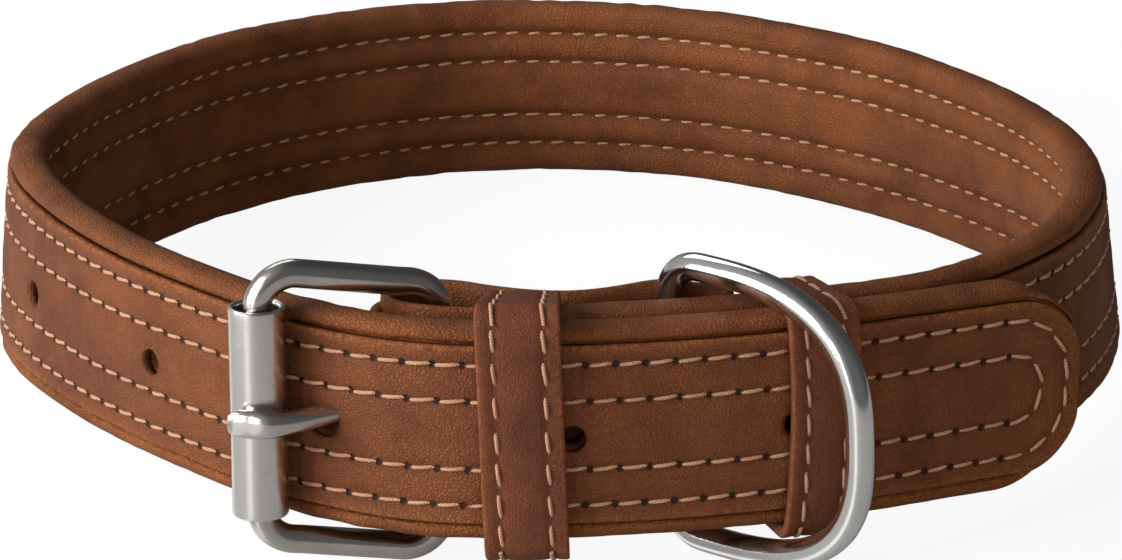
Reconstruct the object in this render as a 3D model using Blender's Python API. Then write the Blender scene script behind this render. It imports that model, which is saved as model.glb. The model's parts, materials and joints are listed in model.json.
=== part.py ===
"""Leather dog collar with a roller buckle and a lead ring, closed into a loop and standing on its edge.

Lengths are in metres with +Z up. The collar is laid out as a plan curve seen from above, in polar angles
round the middle of the loop: 0 is to the right and 270 is the front. The curve starts at the sewn flap
behind the front, folds round the buckle's heel bar, goes once round the neck and ends at the free tip.
Everything is built with the strap's lower edge level, then tipped to stand on the buckle and the back edge.
"""
import math

import bmesh
import bpy
from mathutils import Matrix, Vector

MM = 0.001

# Strap sizes
STRAP_HEIGHT = 38.0 * MM
STRIP_HEIGHT = 32.0 * MM
STRIP_THICKNESS = 2.0 * MM
STRIP_CHAMFER = 0.4 * MM
LINING_DEPTH = 4.9 * MM
BARE_LINING_DEPTH = 1.7 * MM
ROLL_BULGE = 1.6 * MM
ROLL_LEAST = 0.9 * MM
PADDING_LEAST = 0.1
SEAM_GAP = 0.36 * MM
CLEARANCE = 0.34 * MM
OUTER_SEAM_HEIGHT = 12.6 * MM
INNER_SEAM_HEIGHT = 6.1 * MM
CHANNEL_DEPTH = 1.2 * MM
TIP_CORNER = 12.0 * MM
LINING_CORNER = 15.0 * MM
LINING_SETBACK = 1.0 * MM
TIP_SPREAD = 3.5

# Holes
HOLE_DIAMETER = 4.9 * MM
HOLE_SIDES = 14
HOLE_DROP = 0.7 * MM
SLOT_HEIGHT = 6.2 * MM
TONGUE_ROOM = 0.62 * MM

# Loop sizes
LOOP_RADIUS = 105.0 * MM
LOOP_STEP = 14.5 * MM
FOLD_STEP = 3.6 * MM
TIP_STEP = 3.6 * MM
TIP_ZONE_TURN = 664.0

# Metal sizes
WIRE = 5.0 * MM
WIRE_SIDES = 10
FRAME_HEIGHT = 48.5 * MM
FRAME_MIDDLE = 20.2 * MM
FRAME_CORNER = 6.5 * MM
FRAME_DROP = 2.8 * MM
ROLLER_DIAMETER = 9.8 * MM
ROLLER_WALL = 0.9 * MM
ROLLER_LENGTH = 37.7 * MM
ROLLER_TURN = 603.65
HEEL_TURN = 258.1
TONGUE_MIDDLE = 19.8 * MM
TONGUE_WIRE = 4.1 * MM
TONGUE_EYE_SHARE = 0.36
TONGUE_EYE_STEPS = 16
TONGUE_TIP_STEPS = 5
RING_REACH = 43.4 * MM
RING_ARM = 7.7 * MM
RING_HEIGHT = 49.3 * MM
RING_MIDDLE = 18.4 * MM
RING_CORNER = 6.5 * MM
RING_SQUARENESS = 2.82
RING_TURN = 281.9
RING_SWING = 56.7
RING_LEAN_ALONG = -0.025
RING_LEAN_OUT = -0.03
RING_SLACK = 1.3 * MM

# Keeper sizes
KEEPER_WIDTH = 14.0 * MM
SECOND_KEEPER_WIDTH = 12.4 * MM
KEEPER_THICKNESS = 1.9 * MM
KEEPER_CORNER = 4.8 * MM
KEEPER_ROOM = 0.66 * MM
KEEPER_END_ROOM = 0.5 * MM
KEEPER_SHARES = [-0.5, -0.25, 0.0, 0.25, 0.5]
FIRST_KEEPER_TURN = 266.8
FIRST_KEEPER_SLANT = -1.5 * MM
FIRST_KEEPER_LIFT = 2.4 * MM
FIRST_KEEPER_SAG = 1.2 * MM
SECOND_KEEPER_TURN = 293.0
SECOND_KEEPER_BOW = 1.0 * MM

# Middle of the padded strap: turn in degrees, radius in loop radii, lean of the top in strap heights.
LOOP_TABLE = [
    (262.0, 0.990, 0.000),
    (269.0, 0.985, 0.000),
    (275.0, 0.971, 0.000),
    (281.0, 0.970, 0.000),
    (289.0, 0.975, 0.000),
    (298.0, 0.991, 0.000),
    (307.0, 1.007, 0.026),
    (317.0, 1.006, 0.026),
    (330.0, 0.999, 0.000),
    (345.0, 0.987, -0.080),
    (360.0, 0.978, -0.170),
    (376.0, 0.961, -0.195),
    (392.0, 0.949, -0.145),
    (410.0, 0.974, -0.100),
    (430.0, 1.029, -0.100),
    (445.0, 1.064, -0.090),
    (460.0, 1.079, -0.030),
    (475.0, 1.062, 0.000),
    (492.0, 1.029, 0.030),
    (512.0, 0.990, 0.000),
    (530.0, 0.992, -0.042),
    (542.0, 0.998, -0.085),
    (554.0, 0.977, -0.090),
    (568.0, 0.954, -0.052),
    (580.0, 0.956, -0.020),
    (591.0, 0.975, -0.005),
    (601.0, 1.015, 0.000),
    (609.0, 1.051, 0.000),
    (618.0, 1.076, 0.000),
    (627.0, 1.068, 0.000),
    (638.0, 1.056, 0.000),
    (650.0, 1.057, 0.000),
    (658.0, 1.068, 0.000),
    (665.0, 1.087, 0.010),
    (671.0, 1.116, 0.020),
    (677.0, 1.166, 0.026),
]

# Seam line of the flap and the fold, flap end first: turn in degrees, radius in loop radii.
FOLD_TABLE = [
    (288.2, 0.915),
    (285.2, 0.890),
    (281.9, 0.834),
    (278.0, 0.862),
    (272.0, 0.895),
    (267.0, 0.890),
    (262.5, 0.873),
    (258.5, 0.855),
    (254.6, 0.862),
    (252.1, 0.892),
    (251.6, 0.940),
    (253.2, 0.982),
    (256.2, 1.002),
]

# Where the padding begins beyond the fold: turn in degrees, share of full padding.
PAD_TABLE = [
    (262.0, 0.02),
    (267.0, 0.50),
    (273.0, 1.00),
]

# Prong from the heel bar: way to the roller in frame lengths, way out in wires, half height and half
# thickness in tongue wires.
TONGUE_TABLE = [
    (0.190, 0.706, 0.50, 0.46),
    (0.354, 0.510, 0.50, 0.50),
    (0.592, 0.854, 0.50, 0.50),
    (0.833, 1.254, 0.51, 0.49),
    (0.961, 1.440, 0.58, 0.40),
    (1.076, 1.230, 0.62, 0.27),
    (1.150, 1.010, 0.58, 0.24),
    (1.176, 0.944, 0.44, 0.18),
]

HOLE_TURNS = [559.2, 585.4, 630.9, 650.9]
TONGUE_HOLE_TURN = 608.9
SLOT_TURNS = [249.0, 251.5, 254.0, 256.5, 259.0, 261.5, 264.0]
SLOT_INNER = 0.915

# Half of one edge of the lining, from the crease over the roll to the neck face. Columns: way out in roll
# bulges, way in in lining depths, way up in roll heights.
ROLL_TABLE = [
    (0.72, 0.00, 0.05),
    (1.00, 0.00, 0.30),
    (0.82, 0.00, 0.62),
    (0.18, 0.00, 0.92),
    (0.00, 0.30, 1.00),
    (0.00, 0.62, 0.96),
    (0.00, 0.92, 0.62),
    (0.00, 1.00, 0.05),
]

# Main colour, metalness and roughness of each finish.
FINISHES = {
    "strap_leather": ((0.245, 0.098, 0.042, 1.0), 0.0, 0.50),
    "lining_leather": ((0.262, 0.108, 0.048, 1.0), 0.0, 0.46),
    "keeper_leather": ((0.190, 0.068, 0.033, 1.0), 0.0, 0.42),
    "frame_steel": ((0.62, 0.61, 0.59, 1.0), 1.0, 0.20),
    "roller_steel": ((0.58, 0.57, 0.55, 1.0), 1.0, 0.32),
    "ring_steel": ((0.66, 0.66, 0.65, 1.0), 1.0, 0.16),
}


def clear_scene():
    """Start from an empty scene."""
    for thing in list(bpy.data.objects):
        bpy.data.objects.remove(thing, do_unlink=True)


def make_finish(name):
    """Plain surface material of a named finish."""
    colour, metalness, roughness = FINISHES[name]
    material = bpy.data.materials.new(name)
    material.use_nodes = True
    surface = material.node_tree.nodes["Principled BSDF"]
    surface.inputs["Base Color"].default_value = colour
    surface.inputs["Metallic"].default_value = metalness
    surface.inputs["Roughness"].default_value = roughness
    return material


def add_piece(name, mesh_builder, material, smooth):
    """Turn a finished bmesh into a named object."""
    bmesh.ops.recalc_face_normals(mesh_builder, faces=mesh_builder.faces)
    for face in mesh_builder.faces:
        face.smooth = smooth
    mesh = bpy.data.meshes.new(name)
    mesh_builder.to_mesh(mesh)
    mesh_builder.free()
    mesh.materials.append(material)
    piece = bpy.data.objects.new(name, mesh)
    bpy.context.scene.collection.objects.link(piece)
    return piece


def skin_rings(rings, closed):
    """Join rings of equal point counts into one closed body, with end caps when the run is open."""
    builder = bmesh.new()
    layers = [[builder.verts.new(point) for point in ring] for ring in rings]
    count = len(layers[0])
    pairs = list(zip(layers, layers[1:]))
    if closed:
        pairs.append((layers[-1], layers[0]))
    for first, second in pairs:
        for index in range(count):
            follow = (index + 1) % count
            builder.faces.new((first[index], first[follow], second[follow], second[index]))
    if not closed:
        builder.faces.new(layers[0])
        builder.faces.new(list(reversed(layers[-1])))
    builder.normal_update()
    bmesh.ops.triangulate(builder, faces=builder.faces, ngon_method="EAR_CLIP")
    return builder


def plan_point(turn, radius):
    """Point on the floor plan at a polar angle in degrees."""
    angle = math.radians(turn)
    return Vector((radius * math.cos(angle), radius * math.sin(angle), 0.0))


def read_table(table, key):
    """Straight-line reading of a two-column table, held at both ends."""
    if key <= table[0][0]:
        return table[0][1]
    for low, high in zip(table, table[1:]):
        if key <= high[0]:
            share = (key - low[0]) / (high[0] - low[0])
            return low[1] + share * (high[1] - low[1])
    return table[-1][1]


def smooth_span(before, start, end, after, share):
    """Smooth way between two values that also heeds their neighbours."""
    square = share * share
    cube = square * share
    return 0.5 * (
        2.0 * start
        + (end - before) * share
        + (2.0 * before - 5.0 * start + 4.0 * end - after) * square
        + (3.0 * start - before - 3.0 * end + after) * cube
    )


def smooth_run(rows, counts):
    """Smooth curve through rows of values, with a number of steps for each span."""
    run = []
    for index, count in enumerate(counts):
        start, end = rows[index], rows[index + 1]
        before = rows[max(index - 1, 0)]
        after = rows[min(index + 2, len(rows) - 1)]
        for step in range(count):
            share = step / count
            values = zip(before, start, end, after)
            run.append([smooth_span(a, b, c, d, share) for a, b, c, d in values])
    run.append(list(rows[-1]))
    return run


def strap_rows():
    """Rows of the seam line, and the step wanted after each: across, deep, lean, turn, padding."""
    rows = []
    steps = []
    for turn, radius in FOLD_TABLE:
        place = plan_point(turn, radius * LOOP_RADIUS)
        rows.append((place.x, place.y, 0.0, turn, 0.0))
        steps.append(FOLD_STEP)
    outward = (LINING_DEPTH - STRIP_THICKNESS) / 2.0
    for turn, radius, lean in LOOP_TABLE:
        place = plan_point(turn, radius * LOOP_RADIUS + outward)
        rows.append((place.x, place.y, lean, turn, read_table(PAD_TABLE, turn)))
        steps.append(TIP_STEP if turn > TIP_ZONE_TURN else LOOP_STEP)
    return rows, steps


def strap_stations():
    """Places along the whole strap, each with its outward side, lean, turn, padding and way to the tip."""
    rows, steps = strap_rows()
    counts = []
    for start, end, step in zip(rows, rows[1:], steps):
        length = math.hypot(end[0] - start[0], end[1] - start[1])
        counts.append(max(1, math.ceil(length / step)))
    run = smooth_run(rows, counts)
    places = [Vector((values[0], values[1], 0.0)) for values in run]
    to_tip = [0.0]
    for ahead, here in zip(reversed(places[1:]), reversed(places[:-1])):
        to_tip.append(to_tip[-1] + (ahead - here).length)
    to_tip.reverse()
    stations = []
    for index, values in enumerate(run):
        ahead = places[min(index + 1, len(places) - 1)]
        behind = places[max(index - 1, 0)]
        along = (ahead - behind).normalized()
        stations.append(
            {
                "place": places[index],
                "outward": Vector((along.y, -along.x, 0.0)),
                "lean": values[2],
                "turn": values[3],
                "padding": values[4],
                "to_tip": to_tip[index],
            }
        )
    return stations


def seam_radius(stations, turn):
    """Distance of the seam line from the middle of the loop at a turn."""
    loop = [station for station in stations if station["padding"] > 0.0]
    for low, high in zip(loop, loop[1:]):
        if low["turn"] <= turn <= high["turn"]:
            share = (turn - low["turn"]) / (high["turn"] - low["turn"])
            return low["place"].lerp(high["place"], share).length
    return loop[-1]["place"].length


def round_end_loss(distance, corner):
    """Half height taken away by a round corner at a distance from the end."""
    short = max(corner - max(distance, 0.0), 0.0)
    return corner - math.sqrt(corner * corner - short * short)


def place_section(station, outline):
    """Set an outline of way out and height on a station of the strap."""
    ring = []
    for out, height in outline:
        shear = station["lean"] * (height - STRAP_HEIGHT / 2.0)
        point = station["place"] + station["outward"] * (out + shear)
        ring.append((point.x, point.y, height))
    return ring


def mirror_outline(half):
    """Full outline from its upper half, given as way out and height above the strap's middle."""
    upper = [(out, STRAP_HEIGHT / 2.0 + rise) for out, rise in half]
    lower = [(out, STRAP_HEIGHT / 2.0 - rise) for out, rise in reversed(half)]
    return upper + lower


def strip_outline(station):
    """Flat strip just outside the seam line, rounded off at the tip."""
    half = STRIP_HEIGHT / 2.0 - round_end_loss(station["to_tip"], TIP_CORNER)
    inner = SEAM_GAP / 2.0
    outer = inner + STRIP_THICKNESS
    return mirror_outline(
        [
            (outer, half - STRIP_CHAMFER),
            (outer - STRIP_CHAMFER, half),
            (inner, half),
        ]
    )


def lining_outline(station):
    """Padded lining with its rolled edges and seam channels."""
    from_end = station["to_tip"] - LINING_SETBACK
    strip_half = STRIP_HEIGHT / 2.0 - round_end_loss(station["to_tip"], TIP_CORNER)
    half = STRAP_HEIGHT / 2.0 - round_end_loss(from_end, LINING_CORNER)
    loss = round_end_loss(station["to_tip"], TIP_CORNER) / TIP_CORNER
    crease = strip_half + SEAM_GAP * (1.0 + TIP_SPREAD * loss)
    roll = max(half - crease, ROLL_LEAST)
    half = crease + roll
    full_roll = (STRAP_HEIGHT - STRIP_HEIGHT) / 2.0 - SEAM_GAP
    padding = max(station["padding"], PADDING_LEAST)
    depth = BARE_LINING_DEPTH + (LINING_DEPTH - BARE_LINING_DEPTH) * station["padding"]
    bulge = ROLL_BULGE * padding * min(roll / full_roll, 1.0)
    outer = -SEAM_GAP / 2.0
    shrink = half / (STRAP_HEIGHT / 2.0)
    channel = depth - CHANNEL_DEPTH * padding
    outline = [(outer, crease)]
    for out, inward, rise in ROLL_TABLE:
        outline.append((outer + out * bulge - inward * depth, crease + rise * roll))
    outer_seam = OUTER_SEAM_HEIGHT * shrink
    inner_seam = INNER_SEAM_HEIGHT * shrink
    outline.append((outer - channel, outer_seam))
    outline.append((outer - 0.96 * depth, (outer_seam + inner_seam) / 2.0))
    outline.append((outer - channel, inner_seam))
    outline.append((outer - 1.02 * depth, 0.55 * inner_seam))
    return mirror_outline(outline)


def subtract(piece, cutter):
    """Cut one body out of another for good."""
    cutter.hide_render = True
    cutter.display_type = "WIRE"
    cut = piece.modifiers.new("cut", "BOOLEAN")
    cut.operation = "DIFFERENCE"
    cut.solver = "EXACT"
    cut.object = cutter
    bpy.context.view_layer.update()
    graph = bpy.context.evaluated_depsgraph_get()
    mesh = bpy.data.meshes.new_from_object(piece.evaluated_get(graph))
    piece.modifiers.clear()
    piece.data = mesh


def sweep_wire(points, plane, half_sizes, closed):
    """Body of round or flattened wire along points that lie in one plane."""
    rings = []
    for index, point in enumerate(points):
        ahead = points[(index + 1) % len(points)] if closed else points[min(index + 1, len(points) - 1)]
        behind = points[index - 1] if closed or index > 0 else points[0]
        along = (ahead - behind).normalized()
        side = along.cross(plane).normalized()
        high, wide = half_sizes[index]
        ring = []
        for step in range(WIRE_SIDES):
            angle = 2.0 * math.pi * (step + 0.5) / WIRE_SIDES
            ring.append(point + plane * (high * math.sin(angle)) + side * (wide * math.cos(angle)))
        rings.append(ring)
    return skin_rings(rings, closed)


def frame_places(stations):
    """Plan points of the roller bar and the heel bar."""
    strap_face = seam_radius(stations, ROLLER_TURN) + SEAM_GAP / 2.0 + STRIP_THICKNESS
    roller = plan_point(ROLLER_TURN, strap_face + ROLLER_DIAMETER / 2.0 + 2.0 * CLEARANCE)
    heel_face = seam_radius(stations, 262.0) - SEAM_GAP / 2.0 - BARE_LINING_DEPTH
    heel = plan_point(HEEL_TURN, heel_face - 2.0 * CLEARANCE - WIRE / 2.0)
    return roller, heel


def build_frame(roller, heel, material):
    """Welded rectangle of wire standing on edge."""
    along = (heel - roller).normalized()
    length = (heel - roller).length
    up = Vector((0.0, 0.0, 1.0))
    middle = roller + along * (length / 2.0) + up * FRAME_MIDDLE
    points = []
    corners = [(1, 1, 0.0), (-1, 1, 90.0), (-1, -1, 180.0), (1, -1, 270.0)]
    for across, rise, start in corners:
        centre = middle + along * (across * (length / 2.0 - FRAME_CORNER))
        centre = centre + up * (rise * (FRAME_HEIGHT / 2.0 - FRAME_CORNER))
        centre = centre - up * (FRAME_DROP * (across + 1) / 2.0)
        for step in range(6):
            angle = math.radians(start + 90.0 * step / 5.0)
            spoke = along * math.cos(angle) + up * math.sin(angle)
            points.append(centre + spoke * FRAME_CORNER)
    plane = along.cross(up).normalized()
    sizes = [(WIRE / 2.0, WIRE / 2.0)] * len(points)
    return add_piece("buckle_frame", sweep_wire(points, plane, sizes, True), material, True)


def build_roller(roller, material):
    """Thin tube round the front bar, with eased ends."""
    outer = ROLLER_DIAMETER / 2.0
    inner = outer - ROLLER_WALL
    ease = ROLLER_WALL / 3.0
    half = ROLLER_LENGTH / 2.0
    profile = [
        (inner, -half + ease),
        (inner + ease, -half),
        (outer - ease, -half),
        (outer, -half + ease),
        (outer, half - ease),
        (outer - ease, half),
        (inner + ease, half),
        (inner, half - ease),
    ]
    rings = []
    for step in range(28):
        angle = 2.0 * math.pi * step / 28.0
        spoke = Vector((math.cos(angle), math.sin(angle), 0.0))
        ring = []
        for radius, height in profile:
            point = roller + spoke * radius
            ring.append((point.x, point.y, FRAME_MIDDLE + height))
        rings.append(ring)
    return add_piece("buckle_roller", skin_rings(rings, True), material, True)


def tongue_path(roller, heel):
    """Points and half sizes of the tongue's open eye and prong."""
    along = (roller - heel).normalized()
    length = (roller - heel).length
    up = Vector((0.0, 0.0, 1.0))
    out = along.cross(up) * (-1.0 if along.cross(up).y > 0.0 else 1.0)
    level = heel + up * TONGUE_MIDDLE
    eye = WIRE / 2.0 + CLEARANCE + TONGUE_WIRE * TONGUE_EYE_SHARE
    points = []
    sizes = []
    for step in range(TONGUE_EYE_STEPS + 1):
        angle = math.radians(-270.0 * step / TONGUE_EYE_STEPS)
        points.append(level + along * (eye * math.cos(angle)) + out * (eye * math.sin(angle)))
        sizes.append((TONGUE_WIRE / 2.0, TONGUE_WIRE * TONGUE_EYE_SHARE))
    start = (0.0, eye / WIRE, 0.5, TONGUE_EYE_SHARE)
    rows = [start] + TONGUE_TABLE
    run = smooth_run(rows, [3] * (len(rows) - 3) + [2, 1])
    for way, away, high, wide in run[1:]:
        points.append(level + along * (way * length) + out * (away * WIRE))
        sizes.append((high * TONGUE_WIRE, wide * TONGUE_WIRE))
    return points, sizes


def ring_axes(stations):
    """Foot of the lead ring's bar, the way its loop points and the bar's own direction."""
    strap_back = seam_radius(stations, RING_TURN) - SEAM_GAP / 2.0 - LINING_DEPTH
    foot = plan_point(RING_TURN, strap_back - RING_SLACK - WIRE / 2.0)
    up = Vector((0.0, 0.0, 1.0))
    radial = foot.normalized()
    tangent = Vector((-radial.y, radial.x, 0.0))
    bar = (up + tangent * RING_LEAN_ALONG + radial * RING_LEAN_OUT).normalized()
    ahead = (tangent - bar * tangent.dot(bar)).normalized()
    outward = ahead.cross(bar)
    swing = math.radians(RING_SWING)
    reach = ahead * math.cos(swing) + outward * math.sin(swing)
    return foot + up * RING_MIDDLE, reach, bar


def build_ring(stations, material):
    """Ring with a straight bar and a round bow."""
    middle, reach, bar = ring_axes(stations)
    half = RING_HEIGHT / 2.0
    outline = []
    for step in range(23):
        angle = math.radians(90.0 - 180.0 * step / 22.0)
        power = 2.0 / RING_SQUARENESS
        bow = (RING_REACH - RING_ARM) * abs(math.cos(angle)) ** power
        across = RING_ARM + bow
        rise = half * math.copysign(abs(math.sin(angle)) ** power, math.sin(angle))
        if across > RING_CORNER:
            outline.append((across, rise))
    corner_low = []
    corner_high = []
    for step in range(6):
        angle = math.radians(90.0 * step / 5.0)
        across = RING_CORNER * (1.0 - math.sin(angle))
        drop = half - RING_CORNER + RING_CORNER * math.cos(angle)
        corner_low.append((across, -drop))
        corner_high.append((across, drop))
    outline = outline + corner_low + list(reversed(corner_high))
    points = [middle + reach * across + bar * rise for across, rise in outline]
    plane = reach.cross(bar).normalized()
    sizes = [(WIRE / 2.0, WIRE / 2.0)] * len(points)
    return add_piece("lead_ring", sweep_wire(points, plane, sizes, True), material, True)


def rounded_box(back, front, low, high, corner, lift, sag):
    """Outline of a box with round corners and a taller front, as radius and height."""
    outline = []
    spots = [(front, high, 0.0, lift), (back, high, 90.0, 0.0), (back, low, 180.0, 0.0), (front, low, 270.0, -sag)]
    for radius, height, start, rise_by in spots:
        inward = corner if radius == back else -corner
        upward = corner if height == low else -corner
        for step in range(4):
            angle = math.radians(start + 30.0 * step)
            across = radius + inward + corner * math.cos(angle)
            rise = height + rise_by + upward + corner * math.sin(angle)
            outline.append((across, rise))
    return outline


def build_keeper(name, stations, turn, width, shape, material):
    """Leather band round both layers of the strap."""
    slant, bow, lift, sag = shape
    rings = []
    for share in KEEPER_SHARES:
        front_seam = seam_radius(stations, turn + 360.0)
        degrees = math.degrees(share * width / front_seam)
        front = seam_radius(stations, turn + degrees + 360.0) + SEAM_GAP / 2.0 + STRIP_THICKNESS
        front += KEEPER_ROOM
        back = seam_radius(stations, turn + degrees) - SEAM_GAP / 2.0 - LINING_DEPTH - KEEPER_ROOM
        low = -KEEPER_END_ROOM
        high = STRAP_HEIGHT + KEEPER_END_ROOM
        inner = rounded_box(back, front, low, high, KEEPER_CORNER - KEEPER_THICKNESS, lift, sag)
        grow = KEEPER_THICKNESS
        outer = rounded_box(back - grow, front + grow, low - grow, high + grow, KEEPER_CORNER, lift, sag)
        ring = []
        for radius, height in outer + inner:
            level = (height - STRAP_HEIGHT / 2.0) / (STRAP_HEIGHT / 2.0)
            shift = slant * level / 2.0 - bow * level * level
            place = plan_point(turn + degrees + math.degrees(shift / front_seam), radius)
            ring.append((place.x, place.y, height))
        rings.append(ring)
    builder = bmesh.new()
    layers = [[builder.verts.new(point) for point in ring] for ring in rings]
    count = len(layers[0]) // 2
    for first, second in zip(layers, layers[1:]):
        for index in range(count):
            follow = (index + 1) % count
            builder.faces.new((first[index], first[follow], second[follow], second[index]))
            near, far = index + count, follow + count
            builder.faces.new((first[far], first[near], second[near], second[far]))
    for layer in (layers[0], layers[-1]):
        for index in range(count):
            follow = (index + 1) % count
            builder.faces.new((layer[index], layer[follow], layer[follow + count], layer[index + count]))
    bmesh.ops.triangulate(builder, faces=builder.faces)
    return add_piece(name, builder, material, False)


def hole_cutter(stations, turn, diameter):
    """Round punch through the strap at a turn."""
    radius = seam_radius(stations, turn)
    centre = plan_point(turn, radius)
    ahead = plan_point(turn + 1.0, seam_radius(stations, turn + 1.0))
    behind = plan_point(turn - 1.0, seam_radius(stations, turn - 1.0))
    along = (ahead - behind).normalized()
    outward = Vector((along.y, -along.x, 0.0))
    up = Vector((0.0, 0.0, 1.0))
    rings = []
    for depth in (-LINING_DEPTH - SEAM_GAP, STRIP_THICKNESS + 2.0 * SEAM_GAP):
        ring = []
        for step in range(HOLE_SIDES):
            angle = 2.0 * math.pi * step / HOLE_SIDES
            spoke = along * math.cos(angle) + up * math.sin(angle)
            point = centre + outward * depth + spoke * (diameter / 2.0)
            ring.append(point + up * (STRAP_HEIGHT / 2.0 - HOLE_DROP))
        rings.append(ring)
    return skin_rings(rings, False)


def slot_cutter(stations):
    """Slot that lets the tongue's eye and prong out of the fold."""
    rings = []
    for turn in SLOT_TURNS:
        strap_back = seam_radius(stations, turn + 360.0) - SEAM_GAP / 2.0 - LINING_DEPTH
        outer = plan_point(turn, strap_back - CLEARANCE)
        inner = plan_point(turn, SLOT_INNER * LOOP_RADIUS)
        ring = []
        for place, rise in ((inner, -0.5), (outer, -0.5), (outer, 0.5), (inner, 0.5)):
            ring.append((place.x, place.y, TONGUE_MIDDLE + rise * SLOT_HEIGHT))
        rings.append(ring)
    return skin_rings(rings, False)


def channel_cutter(points, sizes):
    """Room for the prong where it runs through the strap."""
    chosen = range(TONGUE_EYE_STEPS + 2, len(points) - TONGUE_TIP_STEPS)
    path = [points[index] for index in chosen]
    room = [(sizes[index][0] + TONGUE_ROOM, sizes[index][1] + TONGUE_ROOM) for index in chosen]
    return sweep_wire(path, Vector((0.0, 0.0, 1.0)), room, False)


def stand_up(pieces, metal):
    """Tip the collar onto its metal and its back edge, and set it on the floor over the origin."""
    spots = [vertex.co for piece in metal for vertex in piece.data.vertices]
    lowest = min(spots, key=lambda place: place.z)
    back = max(vertex.co.y for piece in pieces for vertex in piece.data.vertices)
    tilt = math.atan2(-lowest.z, back - lowest.y)
    turned = Matrix.Rotation(-tilt, 4, "X")
    spots = [turned @ vertex.co for piece in pieces for vertex in piece.data.vertices]
    low = Vector((min(spot[axis] for spot in spots) for axis in range(3)))
    high = Vector((max(spot[axis] for spot in spots) for axis in range(3)))
    centre = (low + high) / 2.0
    standing = Matrix.Translation(Vector((-centre.x, -centre.y, -low.z))) @ turned
    for piece in pieces:
        piece.data.transform(standing)
    return standing


def set_origin(piece, place):
    """Move a piece's origin to a place without moving the piece."""
    piece.data.transform(Matrix.Translation(-place))
    piece.location = place


def build_collar():
    """Make every piece of the collar."""
    clear_scene()
    finishes = {name: make_finish(name) for name in FINISHES}
    stations = strap_stations()
    strip_rings = [place_section(station, strip_outline(station)) for station in stations]
    lining_stations = [station for station in stations if station["to_tip"] > LINING_SETBACK]
    lining_rings = [place_section(station, lining_outline(station)) for station in lining_stations]
    strip = add_piece("outer_strip", skin_rings(strip_rings, False), finishes["strap_leather"], False)
    lining = add_piece("padded_lining", skin_rings(lining_rings, False), finishes["lining_leather"], True)
    roller, heel = frame_places(stations)
    prong, prong_sizes = tongue_path(roller, heel)
    cutters = [hole_cutter(stations, turn, HOLE_DIAMETER) for turn in HOLE_TURNS]
    cutters.append(hole_cutter(stations, TONGUE_HOLE_TURN, HOLE_DIAMETER + TONGUE_ROOM))
    cutters.append(slot_cutter(stations))
    cutters.append(channel_cutter(prong, prong_sizes))
    for builder in cutters:
        cutter = add_piece("cutter", builder, finishes["strap_leather"], False)
        for piece in (strip, lining):
            subtract(piece, cutter)
        bpy.data.objects.remove(cutter, do_unlink=True)
    frame = build_frame(roller, heel, finishes["frame_steel"])
    tube = build_roller(roller, finishes["roller_steel"])
    prong_body = sweep_wire(prong, Vector((0.0, 0.0, 1.0)), prong_sizes, False)
    tongue = add_piece("buckle_tongue", prong_body, finishes["frame_steel"], True)
    ring = build_ring(stations, finishes["ring_steel"])
    leather = finishes["keeper_leather"]
    first_shape = (FIRST_KEEPER_SLANT, 0.0, FIRST_KEEPER_LIFT, FIRST_KEEPER_SAG)
    first = build_keeper("first_keeper", stations, FIRST_KEEPER_TURN, KEEPER_WIDTH, first_shape, leather)
    second_shape = (0.0, SECOND_KEEPER_BOW, 0.0, 0.0)
    second = build_keeper("second_keeper", stations, SECOND_KEEPER_TURN, SECOND_KEEPER_WIDTH, second_shape, leather)
    pieces = [strip, lining, frame, tube, tongue, ring, first, second]
    standing = stand_up(pieces, [frame, ring])
    set_origin(ring, standing @ ring_axes(stations)[0])
    set_origin(tube, standing @ Vector((roller.x, roller.y, FRAME_MIDDLE)))


build_collar()
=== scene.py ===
# %% [markdown]
# # A padded leather dog collar
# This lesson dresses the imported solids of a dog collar. The real one is a flat strip of waxed leather
# sewn on a padded lining, closed by a roller buckle, with two leather keepers and a lead ring. The solids
# give every place and size. Here each piece is made again as a fine mesh on the same lines, because
# leather only looks right when its rolled edges, seam dents and wrinkles are really in the surface.

# %% Load the frame
import json
import math

import bmesh
import bpy
import numpy as np
from mathutils import Matrix, Vector


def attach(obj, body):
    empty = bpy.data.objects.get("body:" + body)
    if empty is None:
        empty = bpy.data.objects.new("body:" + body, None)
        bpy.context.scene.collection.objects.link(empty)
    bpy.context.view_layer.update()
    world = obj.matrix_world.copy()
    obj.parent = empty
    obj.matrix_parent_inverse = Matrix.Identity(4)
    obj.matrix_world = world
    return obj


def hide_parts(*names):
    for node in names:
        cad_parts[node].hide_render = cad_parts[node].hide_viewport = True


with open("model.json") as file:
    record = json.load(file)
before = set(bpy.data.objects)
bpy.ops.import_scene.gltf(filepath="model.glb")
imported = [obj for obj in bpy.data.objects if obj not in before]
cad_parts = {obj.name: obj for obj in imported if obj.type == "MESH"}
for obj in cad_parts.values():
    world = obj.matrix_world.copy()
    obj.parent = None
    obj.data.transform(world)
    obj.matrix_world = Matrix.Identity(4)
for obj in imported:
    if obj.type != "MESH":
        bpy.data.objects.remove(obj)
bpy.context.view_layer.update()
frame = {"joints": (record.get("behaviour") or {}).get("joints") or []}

# %% [markdown]
# ## The strap's line
# Strip, lining, stitches and keepers all follow one line: the seam between strip and lining, seen from
# above. It could be drawn as a curve object, but every piece needs places beside it at many heights, so
# it is kept as a table of polar places and read with NumPy. The rows repeat the table of the solids.

# %% Sizes and tables of the strap
MM = 0.001
STRAP_HEIGHT = 38.0 * MM
STRIP_HEIGHT = 32.0 * MM
STRIP_THICKNESS = 2.0 * MM
LINING_DEPTH = 4.9 * MM
BARE_DEPTH = 1.7 * MM
SEAM_GAP = 0.36 * MM
LOOP_RADIUS = 105.0 * MM
TIP_CORNER = 12.0 * MM
LINING_CORNER = 15.0 * MM
LINING_SETBACK = 1.0 * MM

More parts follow.
